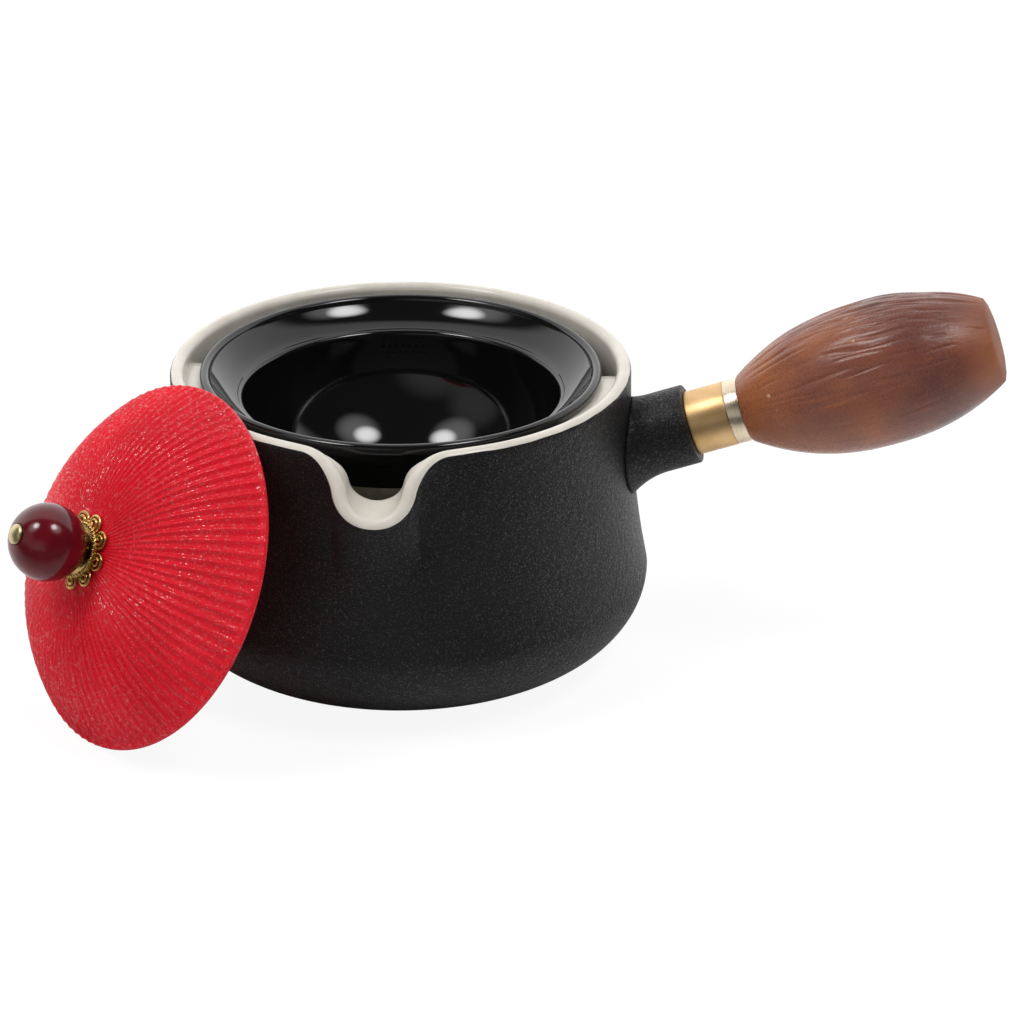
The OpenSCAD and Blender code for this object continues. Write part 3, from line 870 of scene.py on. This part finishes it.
rows = [pole(meet_wall(0.0, np.zeros(1))[0])]
for share in (0.35, 0.7):
    hit = meet_wall(share, boss_angles)
    rows.append(hoop(socket_out(hit) * share, hit, boss_angles))
for t in np.linspace(0, 1, BOSS_ROWS):
    s = foot + (SOCKET_LEN - SOCKET_ROUND - foot) * t
    rows.append(hoop(socket_out(s), s, boss_angles))
mouth = [(SOCKET_R, SOCKET_LEN - SOCKET_ROUND), (SOCKET_R, SOCKET_LEN), (BORE_R, SOCKET_LEN),
         (BORE_R, BORE_FLOOR), (0, BORE_FLOOR)]
rows += turn(soften(mouth, SOCKET_ROUND, 6)[1:])
piece("socket_boss", skin(rows), [stoneware], "pot", "handle_socket", handle_frame)

# %% [markdown]
# ## Ferrule
# Where wood meets clay, a ferrule hides the joint and keeps the wood from splitting: a long brushed
# sleeve and a short paler ring. Both are turned tubes, and the narrow chamfers on their edges draw the
# bright line between them.

# %% Ferrule
TENON_R = 5.6
SLEEVE_LEN = 8.2
RING_LEN = 3
CHAMFER = 0.22

for name, start, length, material, slot in (
        ("sleeve", SOCKET_LEN, SLEEVE_LEN, brushed_brass, "brass_sleeve"),
        ("ring", SOCKET_LEN + SLEEVE_LEN, RING_LEN, pale_brass, "pale_brass_ring")):
    end = start + length
    tube = [(TENON_R, start), (FERRULE_R, start), (FERRULE_R, end), (TENON_R, end)]
    rows = turn(soften(tube, CHAMFER, closed=True))
    label = "ferrule_" + name
    piece(label + "_turned", skin(rows, loop=True), [material], "pot", label, handle_frame)

# %% [markdown]
# ## Marks of the carver
# The grip was turned to a barrel and then scored with a gouge, mostly along its upper side, which gives
# the hand some hold. The grooves could be painted as bump, but they break the outline too, so they are
# cut into the mesh. Each groove is a soft trough along the barrel with its own start, length, depth,
# width and sway, placed by a seeded draw. A few broad shallow facets come from the carver's knife, and
# two more lie where the thumb rests and near the neck.

# %% Grooves and facets
GROOVES = 130
FACETS = 6
CUT_FACETS = ((3.96, 46, 6.5, 0.55), (4.1, 11, 5, 0.4))

draw = np.random.default_rng(8)
grooves = []
for _ in range(GROOVES):
    middle = math.pi + draw.normal(0.2, 0.6)
    start = draw.uniform(0, 44)
    length = draw.uniform(5, 17)
    cut = draw.uniform(0.05, 0.24)
    width = draw.uniform(0.24, 0.5)
    phase = draw.uniform(0, 6.3)
    sway = draw.uniform(0.05, 0.4)
    grooves.append((middle, start, length, cut, width, phase, sway))
facets = []
for _ in range(FACETS):
    middle = draw.uniform(1.9, 4.4)
    centre = draw.uniform(14, 48)
    size = draw.uniform(4, 7)
    facets.append((middle, centre, size, draw.uniform(0.12, 0.3)))
facets += CUT_FACETS
print(len(grooves), "grooves and", len(facets), "facets")

# %% [markdown]
# ## Carved grip
# The barrel swells from the ferrule to the middle and draws in to a low domed tip. At each row the
# carving is taken off its radius, with a limit to its depth where grooves cross. Faces near the three
# small chips show bare wood.

# %% Shape of the grip
GRIP_START = SOCKET_LEN + SLEEVE_LEN + RING_LEN
GRIP_LEN = 53.4
GRIP_MID = 28
NECK_R = FERRULE_R + 0.2
TIP_R = 8.9
TIP_DOME = 1.5
GRIP_BOW = 2.3
DEEPEST = 0.55
SWAY_RATE = 0.35

grip_angles = circle(512)
tip_u = GRIP_LEN - TIP_DOME


def grip_out(u):
    """Radius of the barrel at distance u from the ferrule."""
    before = NECK_R + (GRIP_R - NECK_R) * (1 - np.abs((GRIP_MID - u) / GRIP_MID) ** GRIP_BOW)
    after = TIP_R + (GRIP_R - TIP_R) * (1 - np.abs((u - GRIP_MID) / (tip_u - GRIP_MID)) ** GRIP_BOW)
    return np.where(u < GRIP_MID, before, after)


def carved(u):
    """Depth of the carving around the barrel at distance u from the ferrule."""
    radius = float(grip_out(u))
    depth = np.zeros_like(grip_angles)
    for middle, start, length, cut, width, phase, sway in grooves:
        share = (u - start) / length
        if 0 < share < 1:
            at = middle + sway * math.sin(phase + u * SWAY_RATE) / radius
            away = radius * (np.mod(grip_angles - at + np.pi, 2 * np.pi) - np.pi)
            depth += cut * math.sin(math.pi * share) * np.exp(-(away / width) ** 2)
    for middle, centre, size, cut in facets:
        away = radius * (np.mod(grip_angles - middle + np.pi, 2 * np.pi) - np.pi)
        depth += cut * np.exp(-((away / size) ** 2 + ((u - centre) / size) ** 2))
    return np.minimum(depth, DEEPEST)


print("the grip is", 2 * GRIP_R, "mm thick and", GRIP_LEN, "mm long")

# %% Carved grip
INSERT_R = 4.05
INSERT_D = 6.9
TENON_GAP = 0.05
TENON_END = SOCKET_LEN + 0.1
NECK_EDGE = 0.25
TIP_EDGE = 0.4
TIP_BOW = 0.95
GRIP_ROWS = 180
CHIPS = ((26.4, 219.375, 0.3), (6.7, 241.875, 0.45), (7.5, 258.75, 0.22))

bore = [(0, GRIP_START + INSERT_D), (INSERT_R, GRIP_START + INSERT_D), (INSERT_R, TENON_END),
        (TENON_R - TENON_GAP, TENON_END), (TENON_R - TENON_GAP, GRIP_START),
        (NECK_R - NECK_EDGE, GRIP_START)]
rows = turn(bore, len(grip_angles))
for u in np.linspace(NECK_EDGE, tip_u - TIP_EDGE, GRIP_ROWS):
    rows.append(hoop(grip_out(u) - carved(u), GRIP_START + u, grip_angles))
for t in np.radians((15, 35, 55, 70, 80, 86)):
    s = GRIP_START + tip_u + TIP_DOME * math.sin(t)
    rows.append(hoop(TIP_R * math.cos(t) ** TIP_BOW, s, grip_angles))
rows.append(pole(GRIP_START + GRIP_LEN))
points, faces = skin(rows)
middles = np.array([points[list(face)].mean(0) for face in faces])
paint = np.zeros(len(faces), int)
for u, degrees, size in CHIPS:
    at = hoop(float(grip_out(u)), GRIP_START + u, np.radians([degrees]))
    paint[np.linalg.norm(middles - at, axis=1) < size] = 1
piece("grip_carved", (points, faces), [wood, bare_wood], "pot", "handle_grip",
      handle_frame, paint)

# %% [markdown]
# ## Hidden hardware
# A stud, a bush in the clay and an insert in the wood hold the handle together, and a nut with a washer
# holds the lid's pin. They hardly ever show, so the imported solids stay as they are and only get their
# materials.

# %% Hardware of the handle and the lid
HARDWARE = {"socket_bush": turned_brass, "grip_insert": turned_brass, "handle_stud": turned_steel,
            "pin_nut": turned_brass, "pin_washer": washer_rubber}

for name, material in HARDWARE.items():
    mesh = frame["nodes"][name].data
    mesh.materials.clear()
    mesh.materials.append(material)
    print(name, "wears", material.name)

# %% [markdown]
# ## Inner bowl
# The strainer bowl hangs in the mouth of the pot. It has a rolled lip, a dished gallery where the lid sits,
# a crisp edge at the throat and a round belly. It is thrown, so a lathe gives its skin: the profile runs
# from the middle of the floor up to the lip and back down the outside, as depths below the top. The outside
# is bare clay below the line where its glaze stops, painted paler than the clay as painted light from the
# white channel.

# %% Inside of the bowl
BOWL_R = 41
BOWL_LIP = 2
GALLERY_R = BOWL_R - BOWL_LIP
GALLERY_BOW = 1.85
THROAT_R = 32.3
THROAT_D = 5.3
THROAT_ROUND = 1.0
BOWL_D = 34
BOWL_CURVE = 2.2


def belly(radius, t):
    """Radius of the bowl's rounded belly at share t of its depth."""
    return radius * (1 - t ** BOWL_CURVE) ** (1 / BOWL_CURVE)


profile = [(0, BOWL_D)]
for t in np.sin(np.linspace(math.pi / 2, 0, 49))[1:-1]:
    depth = THROAT_D + (BOWL_D - THROAT_D) * t
    if depth > THROAT_D + THROAT_ROUND:
        profile.append((belly(THROAT_R, t), depth))
for a in np.linspace(0, math.pi / 2, 7):
    over = THROAT_R + THROAT_ROUND * (1 - math.cos(a))
    profile.append((over, THROAT_D + THROAT_ROUND * (1 - math.sin(a))))
for x in np.linspace(0, 1, 25):
    if x * (GALLERY_R - THROAT_R) > THROAT_ROUND + 0.1:
        dish = THROAT_D - (THROAT_D - BOWL_LIP / 2) * x ** GALLERY_BOW
        profile.append((THROAT_R + (GALLERY_R - THROAT_R) * x, dish))
for a in np.linspace(0, math.pi, 17)[1:]:
    profile.append((BOWL_R - BOWL_LIP / 2 * (1 + math.cos(a)), BOWL_LIP / 2 * (1 - math.sin(a))))
print("the inside of the bowl has", len(profile), "points")

# %% Outside and skin of the bowl
BOWL_Z = POT_H - 0.7
BOWL_WALL = 3
BOWL_FOOT = 13
BOWL_SEAT = 1.6
BOWL_EDGE = 0.5
CLAY_LINE = 50.9
BOWL_COLUMNS = 192

shell_from = 1 + (len(profile) - 1) * BOWL_COLUMNS
shell_r = THROAT_R + BOWL_WALL
shell_d = THROAT_D + BOWL_WALL
full_d = BOWL_D + BOWL_WALL
foot_t = (1 - (BOWL_FOOT / shell_r) ** BOWL_CURVE) ** (1 / BOWL_CURVE)
flange = [(BOWL_R, BOWL_LIP * 0.6), (BOWL_R, BOWL_LIP), (BOWL_R - BOWL_SEAT, BOWL_LIP), (shell_r, shell_d)]
profile += soften(flange, BOWL_EDGE)[1:]
for t in np.sin(np.linspace(0, math.pi / 2, 40))[1:] * foot_t:
    profile.append((belly(shell_r, t), shell_d + (full_d - shell_d) * t))
profile += [(BOWL_FOOT - 0.4, full_d), (BOWL_FOOT / 2, full_d), (0, full_d)]
points, faces = skin(turn([(r, BOWL_Z - d) for r, d in profile], BOWL_COLUMNS))
bare = [int(min(face) >= shell_from and points[face[0], 2] < CLAY_LINE) for face in faces]
bowl = piece("inner_bowl", (points, faces), [black_glaze, bare_clay_painted_light], "infuser",
             "infuser_bowl", paint=bare)

# %% [markdown]
# ## Strainer holes
# Tea runs out of the bowl through three rows of holes in its front. A potter drills them with a tube, and
# so does this cell: all the drills are one mesh, and one boolean cut takes them out of the bowl. Holes
# painted as texture would show no thickness of the wall.

# %% Strainer holes
HOLE_R = 0.9
HOLE_PITCH = 3.6
HOLE_ROWS = 3
HOLE_COLUMNS = 7
HOLE_D = 18
DRILL_FROM = 15
DRILL_SIDES = 20
CRISP = math.radians(35)


def join(parts):
    """Points and faces of several skins as one."""
    points = []
    faces = []
    count = 0
    for part_points, part_faces in parts:
        points.append(part_points)
        faces += [tuple(count + c for c in face) for face in part_faces]
        count += len(part_points)
    return np.concatenate(points), faces


rod = [(0, DRILL_FROM), (HOLE_R, DRILL_FROM), (HOLE_R, BOWL_R), (0, BOWL_R)]
drill, drill_faces = skin(turn(rod, DRILL_SIDES))
drills = []
for line in range(HOLE_ROWS):
    depth = HOLE_D + line * HOLE_PITCH
    step = HOLE_PITCH / belly(THROAT_R, (depth - THROAT_D) / (BOWL_D - THROAT_D))
    for column in range(HOLE_COLUMNS):
        angle = (column - (HOLE_COLUMNS - 1) / 2 + (line % 2) / 2) * step
        side = (math.cos(angle), math.sin(angle), 0)
        aim = (math.sin(angle), -math.cos(angle), 0)
        aimed = drill @ np.array([side, (0, 0, 1), aim])
        drills.append((aimed + np.array([0, 0, BOWL_Z - depth]), drill_faces))
points, faces = join(drills)
cutter_mesh = bpy.data.meshes.new("drills")
cutter_mesh.from_pydata(points * MM, [], faces)
cutter = new_object("drills", cutter_mesh)
cut = bowl.modifiers.new("strainer", "BOOLEAN")
cut.object = cutter
cut.solver = "EXACT"
drilled = bpy.data.meshes.new_from_object(bowl.evaluated_get(bpy.context.evaluated_depsgraph_get()))
bowl.modifiers.clear()
bowl.data = drilled
bowl.data.set_sharp_from_angle(angle=CRISP)
bpy.data.objects.remove(cutter)
print("drilled", HOLE_ROWS * HOLE_COLUMNS, "holes, bowl now has", len(bowl.data.polygons), "faces")

# %% [markdown]
# ## Where the lid leans
# The lid is drawn upright and then carried to its place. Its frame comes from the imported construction:
# the joint along which it lifts gives the axis, and the bead gives the middle.

# %% Frame of the lid
BEAD_H = 25.4

lift = next(joint for joint in frame["joints"] if joint["name"] == "lid_lift")
lid_axis = Vector(lift["axis"]).normalized()
bead_low, bead_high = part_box("knob_ball")
lid_middle = (bead_low + bead_high) / 2 - lid_axis * BEAD_H * MM
lid_frame = Matrix.Translation(lid_middle) @ lid_axis.to_track_quat("Z", "Y").to_matrix().to_4x4()
print("lid middle at", [round(v / MM, 1) for v in lid_middle])

# %% [markdown]
# ## Fluted lid
# The lid is a dome with ninety raised ribs that run from the cap to the rim, like a parasol. Bump would
# fake the shading but leave the outline smooth, so the ribs are in the mesh: between two ribs the surface
# dips by up to 0.6 mm, less near the middle, where the ribs crowd, and at the very rim.

# %% Fluted lid
RIBS = 90
RIB_COLUMNS = 8
RIB_DEPTH = 0.58
RIB_BOW = 1.6
RIB_START = 5
RIB_RISE = 6
RIB_FULL_R = 22
RIB_END = 0.8
RIB_END_LOSS = 0.7
LID_R = 36.96
LID_H = 16.8
LID_BAND = 1.2
LID_WALL = 2.2
LID_CURVE = 3
LID_EDGE = 0.5

lid_angles = circle(RIBS * RIB_COLUMNS)
valley = 1 - (0.5 + 0.5 * np.cos(RIBS * lid_angles)) ** RIB_BOW


def rib_depth(r):
    """How far the valleys between the ribs sink at radius r."""
    grown = min(1.0, r / RIB_FULL_R) * ease((r - RIB_START) / RIB_RISE)
    return float(RIB_DEPTH * grown * (1 - RIB_END_LOSS * ease((r - LID_R + RIB_END) / RIB_END)))


rows = [pole(LID_H)]
for t in np.sin(np.linspace(0.03, math.pi / 2, 90)):
    r = LID_R * t
    h = LID_BAND + (LID_H - LID_BAND) * (1 - t ** LID_CURVE)
    lean = math.atan((LID_H - LID_BAND) * LID_CURVE * t ** (LID_CURVE - 1) / LID_R)
    sunk = rib_depth(r) * valley
    rows.append(hoop(r - sunk * math.sin(lean), h - sunk * math.cos(lean), lid_angles))
inside_r = LID_R - LID_WALL
inside_h = LID_H - LID_WALL
rim = soften([(LID_R, LID_BAND), (LID_R, 0), (inside_r, 0), (inside_r - 0.2, 0.7)], LID_EDGE)[1:-1]
shares = np.sin(np.linspace(math.pi / 2, 0.05, 24))[1:]
hollow = [(inside_r * t, inside_h * (1 - t ** LID_CURVE)) for t in shares]
rows += turn(rim + hollow + [(0, inside_h)], len(lid_angles))
piece("lid_fluted", skin(rows), [red_glaze], "lid", "lid_dome", lid_frame)

# %% [markdown]
# ## Gilt cap
# Between bead and lid lies a cast cap in the shape of filigree: nine curls of wire around a small cup
# with a beaded edge. Each curl is a tube swept along a shrinking spiral, and the dark hollow in its
# middle is what the eye reads as lace. Two helpers do the work: one draws a round wire along a path, the
# other turns points about the axis.

# %% Helpers for the cap
def wire(path, radius, sides=8):
    """Rows of a round wire along a path, closed with a pole at each end."""
    heading = unit(np.gradient(path, axis=0))
    flat = unit(np.cross(heading, np.array([0, 0, 1])))
    third = np.cross(heading, flat)
    around = circle(sides)[:, None]
    rows = [at + radius * (np.cos(around) * a + np.sin(around) * b) for at, a, b in zip(path, flat, third)]
    return [path[:1]] + rows + [path[-1:]]


def spun(points, angle):
    """Points turned about Z."""
    c = math.cos(angle)
    s = math.sin(angle)
    x, y, z = points.T
    return np.stack([c * x - s * y, s * x + c * y, z], 1)


print("a quarter turn carries X to", spun(np.array([[1.0, 0, 0]]), math.pi / 2).round(3).tolist())

# %% Gilt cap
CAP_H = LID_H + 0.05
CAP_R = 8.3
CURLS = 9
CURL_STEPS = 60
CURL_FROM = -105
CURL_TO = 560
CURL_R = 1.8
CURL_END = 0.3
CURL_RISE = 0.45
WIRE_R = 0.31
STEM = ((0, -1.9), (0.5, -1.65))
PEARLS = 40
PEARL_RING = 5.35
PEARL_R = 0.36
CUP_H = 1.3
CUP_FLOOR = 0.5
CUP_HOLE = 1.3

wire_h = CAP_H + WIRE_R
stem = np.array([(PEARL_RING + out, across, wire_h) for out, across in STEM])
curl_size = np.linspace(CURL_R, CURL_END, CURL_STEPS)
curl_turn = np.radians(np.linspace(CURL_FROM, CURL_TO, CURL_STEPS))
curl = hoop(curl_size, wire_h + np.linspace(0, CURL_RISE, CURL_STEPS), curl_turn)
curl = np.concatenate([stem, curl + np.array([CAP_R - CURL_R - WIRE_R, 0, 0])])
parts = [skin(wire(spun(curl, angle), WIRE_R)) for angle in circle(CURLS)]
half_round = np.linspace(0, math.pi, 7)
ball, ball_faces = skin(turn([(PEARL_R * math.sin(a), PEARL_R * math.cos(a)) for a in half_round], 10))
ball = ball + np.array([PEARL_RING, 0, CAP_H + CUP_H])
parts += [(spun(ball, angle), ball_faces) for angle in circle(PEARLS)]
cup = [(CUP_HOLE, CAP_H), (PEARL_RING + 0.2, CAP_H), (PEARL_RING + 0.3, CAP_H + CUP_H),
       (PEARL_RING - 0.5, CAP_H + CUP_H), (PEARL_RING - 1.6, CAP_H + CUP_FLOOR),
       (CUP_HOLE, CAP_H + CUP_FLOOR)]
parts.append(skin(turn(soften(cup, 0.3, closed=True), 96), loop=True))
piece("cap_filigree", join(parts), [gilt_brass], "lid", "bead_cap", lid_frame)

# %% [markdown]
# ## Bead and pin
# A brass pin runs down through the bead and the lid to a nut inside. The bead is a ball with a drilled
# hole and a small seat for the pin's domed head, all turned about the lid's axis.

# %% Bead and pin
BEAD_R = 7.72
BEAD_HOLE = 0.17
BEAD_SEAT = 0.27
PIN_R = 1.2
PIN_GAP = 0.05
PIN_EDGE = 0.15
PIN_FOOT = 10.5
HEAD_R = 2
HEAD_H = 0.9
HEAD_Z = BEAD_H + math.sqrt(BEAD_R ** 2 - HEAD_R ** 2)

ball_angles = np.linspace(BEAD_HOLE, math.pi - BEAD_SEAT, 72)
bead = [(BEAD_R * math.sin(a), BEAD_H - BEAD_R * math.cos(a)) for a in ball_angles]
seat_z = HEAD_Z - PIN_GAP
bead += [(HEAD_R + PIN_GAP, seat_z), (PIN_R + PIN_GAP, seat_z), (PIN_R + PIN_GAP, BEAD_H)]
piece("bead_polished", skin(turn(bead), loop=True), [bead_glass], "lid", "knob_ball", lid_frame)
dome_z = HEAD_Z + HEAD_H / 3
dome_h = HEAD_H * 2 / 3
shank = [(0, PIN_FOOT), (PIN_R, PIN_FOOT), (PIN_R, HEAD_Z), (HEAD_R, HEAD_Z), (HEAD_R, dome_z)]
pin = soften(shank, PIN_EDGE)
pin += [(HEAD_R * math.cos(a), dome_z + dome_h * math.sin(a)) for a in np.linspace(0.2, 1.45, 9)]
pin.append((0, HEAD_Z + HEAD_H))
piece("pin_headed", skin(turn(pin, 64)), [pin_brass], "lid", "knob_pin", lid_frame)

# %% [markdown]
# ## Floor
# The object stands on white paper. For the camera the paper is mostly its own white, so the background is
# white and the shadow stays faint, without more light on the object. In reflections the paper carries a
# painted shade that darkens it towards the camera, standing in for the shade in front of the object, and
# that keeps the black glaze black.

# %% Floor
FLOOR_HALF = 3.0
PAPER = 0.85
PAPER_WHITE = 0.86
PAPER_GLOW = 1.06
PAINTED_SHADE = -0.77
PAINTED_SHADE_FROM = -0.03
PAINTED_SHADE_TO = -0.14

corners = [(x * FLOOR_HALF, y * FLOOR_HALF, 0) for x, y in ((-1, -1), (1, -1), (1, 1), (-1, 1))]
floor_mesh = bpy.data.meshes.new("floor")
floor_mesh.from_pydata(corners, [], [(0, 1, 2, 3)])
floor = new_object("floor", floor_mesh)
paper = bpy.data.materials.new("white_paper")
paper.use_nodes = True
tree = paper.node_tree
tree.nodes.clear()
rays = add(tree, "ShaderNodeLightPath")
place = add(tree, "ShaderNodeTexCoord").outputs["Object"]
spot = add(tree, "ShaderNodeSeparateXYZ", None, {"Vector": place})
# Painted shade: for glossy rays the paper grows darker towards the camera, in front of the object.
darker = {"From Min": PAINTED_SHADE_TO, "From Max": PAINTED_SHADE_FROM, "To Min": PAINTED_SHADE, "To Max": 0}
painted_shade = add(tree, "ShaderNodeMapRange", darker, {"Value": spot.outputs["Y"]})
mirrored = {0: rays.outputs["Is Glossy Ray"], 1: painted_shade}
grey = add(tree, "ShaderNodeMath", {2: PAPER}, mirrored, operation="MULTIPLY_ADD")
seen = {0: rays.outputs["Is Camera Ray"]}
share = add(tree, "ShaderNodeMath", {1: PAPER_WHITE}, seen, operation="MULTIPLY")
matt = add(tree, "ShaderNodeBsdfDiffuse", None, {"Color": grey})
glow = add(tree, "ShaderNodeEmission", {"Color": srgb("ffffff"), "Strength": PAPER_GLOW})
mixed = add(tree, "ShaderNodeMixShader", None, {0: share, 1: matt, 2: glow})
add(tree, "ShaderNodeOutputMaterial", None, {"Surface": mixed})
floor_mesh.materials.append(paper)
print("floor is", 2 * FLOOR_HALF, "m wide")

# %% [markdown]
# ## Lamps
# Two large round lamps, left and right of the camera and above it, give the colours their level. They are
# hidden from reflections, because in the mirror of the black bowl they would show as hard discs. Soft
# patches in the room around the object draw the highlights instead.

# %% Lamps
LAMPS = (
    ("key_left", (-0.70, -0.30, 0.65), 1.75),
    ("key_right", (0.50, -0.40, 0.77), 1.0),
)
LAMP_AWAY = 1.0
LAMP_SIZE = 0.5
AIM = Vector((0, 0, 0.04))

for name, direction, power in LAMPS:
    lamp = bpy.data.lights.new(name, "AREA")
    lamp.shape = "DISK"
    lamp.size = LAMP_SIZE
    lamp.energy = power
    holder = new_object(name, lamp)
    holder.location = AIM + Vector(direction).normalized() * LAMP_AWAY
    holder.rotation_euler = (AIM - holder.location).to_track_quat("-Z", "Y").to_euler()
    holder.visible_glossy = False
    print(name, "at", [round(v, 2) for v in holder.location], "with", power, "W")

# %% [markdown]
# ## The room
# Black, glossy and metal things show their surroundings more than themselves, so the room matters as much
# as the lamps. A bright backdrop reaches from the horizon behind the object to nearly overhead, and the
# room in front is dim. Soft patches are added by how closely a direction faces their middle: two pairs
# overhead make the soft highlights in the bowl and on the bead, and two weak ones, low in front and at
# the left, lift the dark sides. The camera itself sees plain white.

# %% World
ROOM_DIM = 0.05
ROOM_HIGH = 0.92
ROOM_LOW = 1.35
ROOM_BACK = (0, 1, 0.2)
PATCHES = (
    ((-0.52, -0.27, 0.81), 0.955, 2.0),
    ((0.52, -0.27, 0.81), 0.955, 2.0),
    ((-0.40, -0.24, 0.88), 0.985, 14.0),
    ((0.40, -0.24, 0.88), 0.985, 14.0),
    ((-0.30, -0.95, 0.05), 0.82, 0.42),
    ((-0.77, -0.48, 0.42), 0.9, 0.4),
)

world = bpy.data.worlds.new("studio")
world.use_nodes = True
bpy.context.scene.world = world
tree = world.node_tree
tree.nodes.clear()
rays = add(tree, "ShaderNodeLightPath")
heading = add(tree, "ShaderNodeTexCoord").outputs["Generated"]


def soft_edge(direction, first, last, brightness):
    """A patch around a direction that grows from nothing to its full brightness between two cosines."""
    facing = add(tree, "ShaderNodeVectorMath", {1: direction}, {0: heading}, operation="DOT_PRODUCT")
    growth = {"From Min": first, "From Max": last, "To Max": brightness}
    return add(tree, "ShaderNodeMapRange", growth, {"Value": facing.outputs["Value"]},
               interpolation_type="SMOOTHSTEP")


height = add(tree, "ShaderNodeSeparateXYZ", None, {"Vector": heading})
fall = {"From Min": 0.3, "From Max": 0.85, "To Min": ROOM_LOW, "To Max": ROOM_HIGH}
bright = add(tree, "ShaderNodeMapRange", fall, {"Value": height.outputs["Z"]})
shown = soft_edge(ROOM_BACK, 0.2, 0.4, 1.0)
level = add(tree, "ShaderNodeMath", {2: ROOM_DIM}, {0: shown, 1: bright}, operation="MULTIPLY_ADD")
for direction, first, brightness in PATCHES:
    patch = soft_edge(Vector(direction).normalized(), first, 1.0, brightness)
    level = add(tree, "ShaderNodeMath", None, {0: level, 1: patch}, operation="ADD")
room = add(tree, "ShaderNodeBackground", {"Color": srgb("ffffff")}, {"Strength": level})
white = add(tree, "ShaderNodeBackground", {"Color": srgb("ffffff"), "Strength": 1.0})
mixed = add(tree, "ShaderNodeMixShader", None, {0: rays.outputs["Is Camera Ray"], 1: room, 2: white})
add(tree, "ShaderNodeOutputWorld", None, {"Surface": mixed})
print("room from", ROOM_DIM, "in front to", ROOM_LOW, "behind")
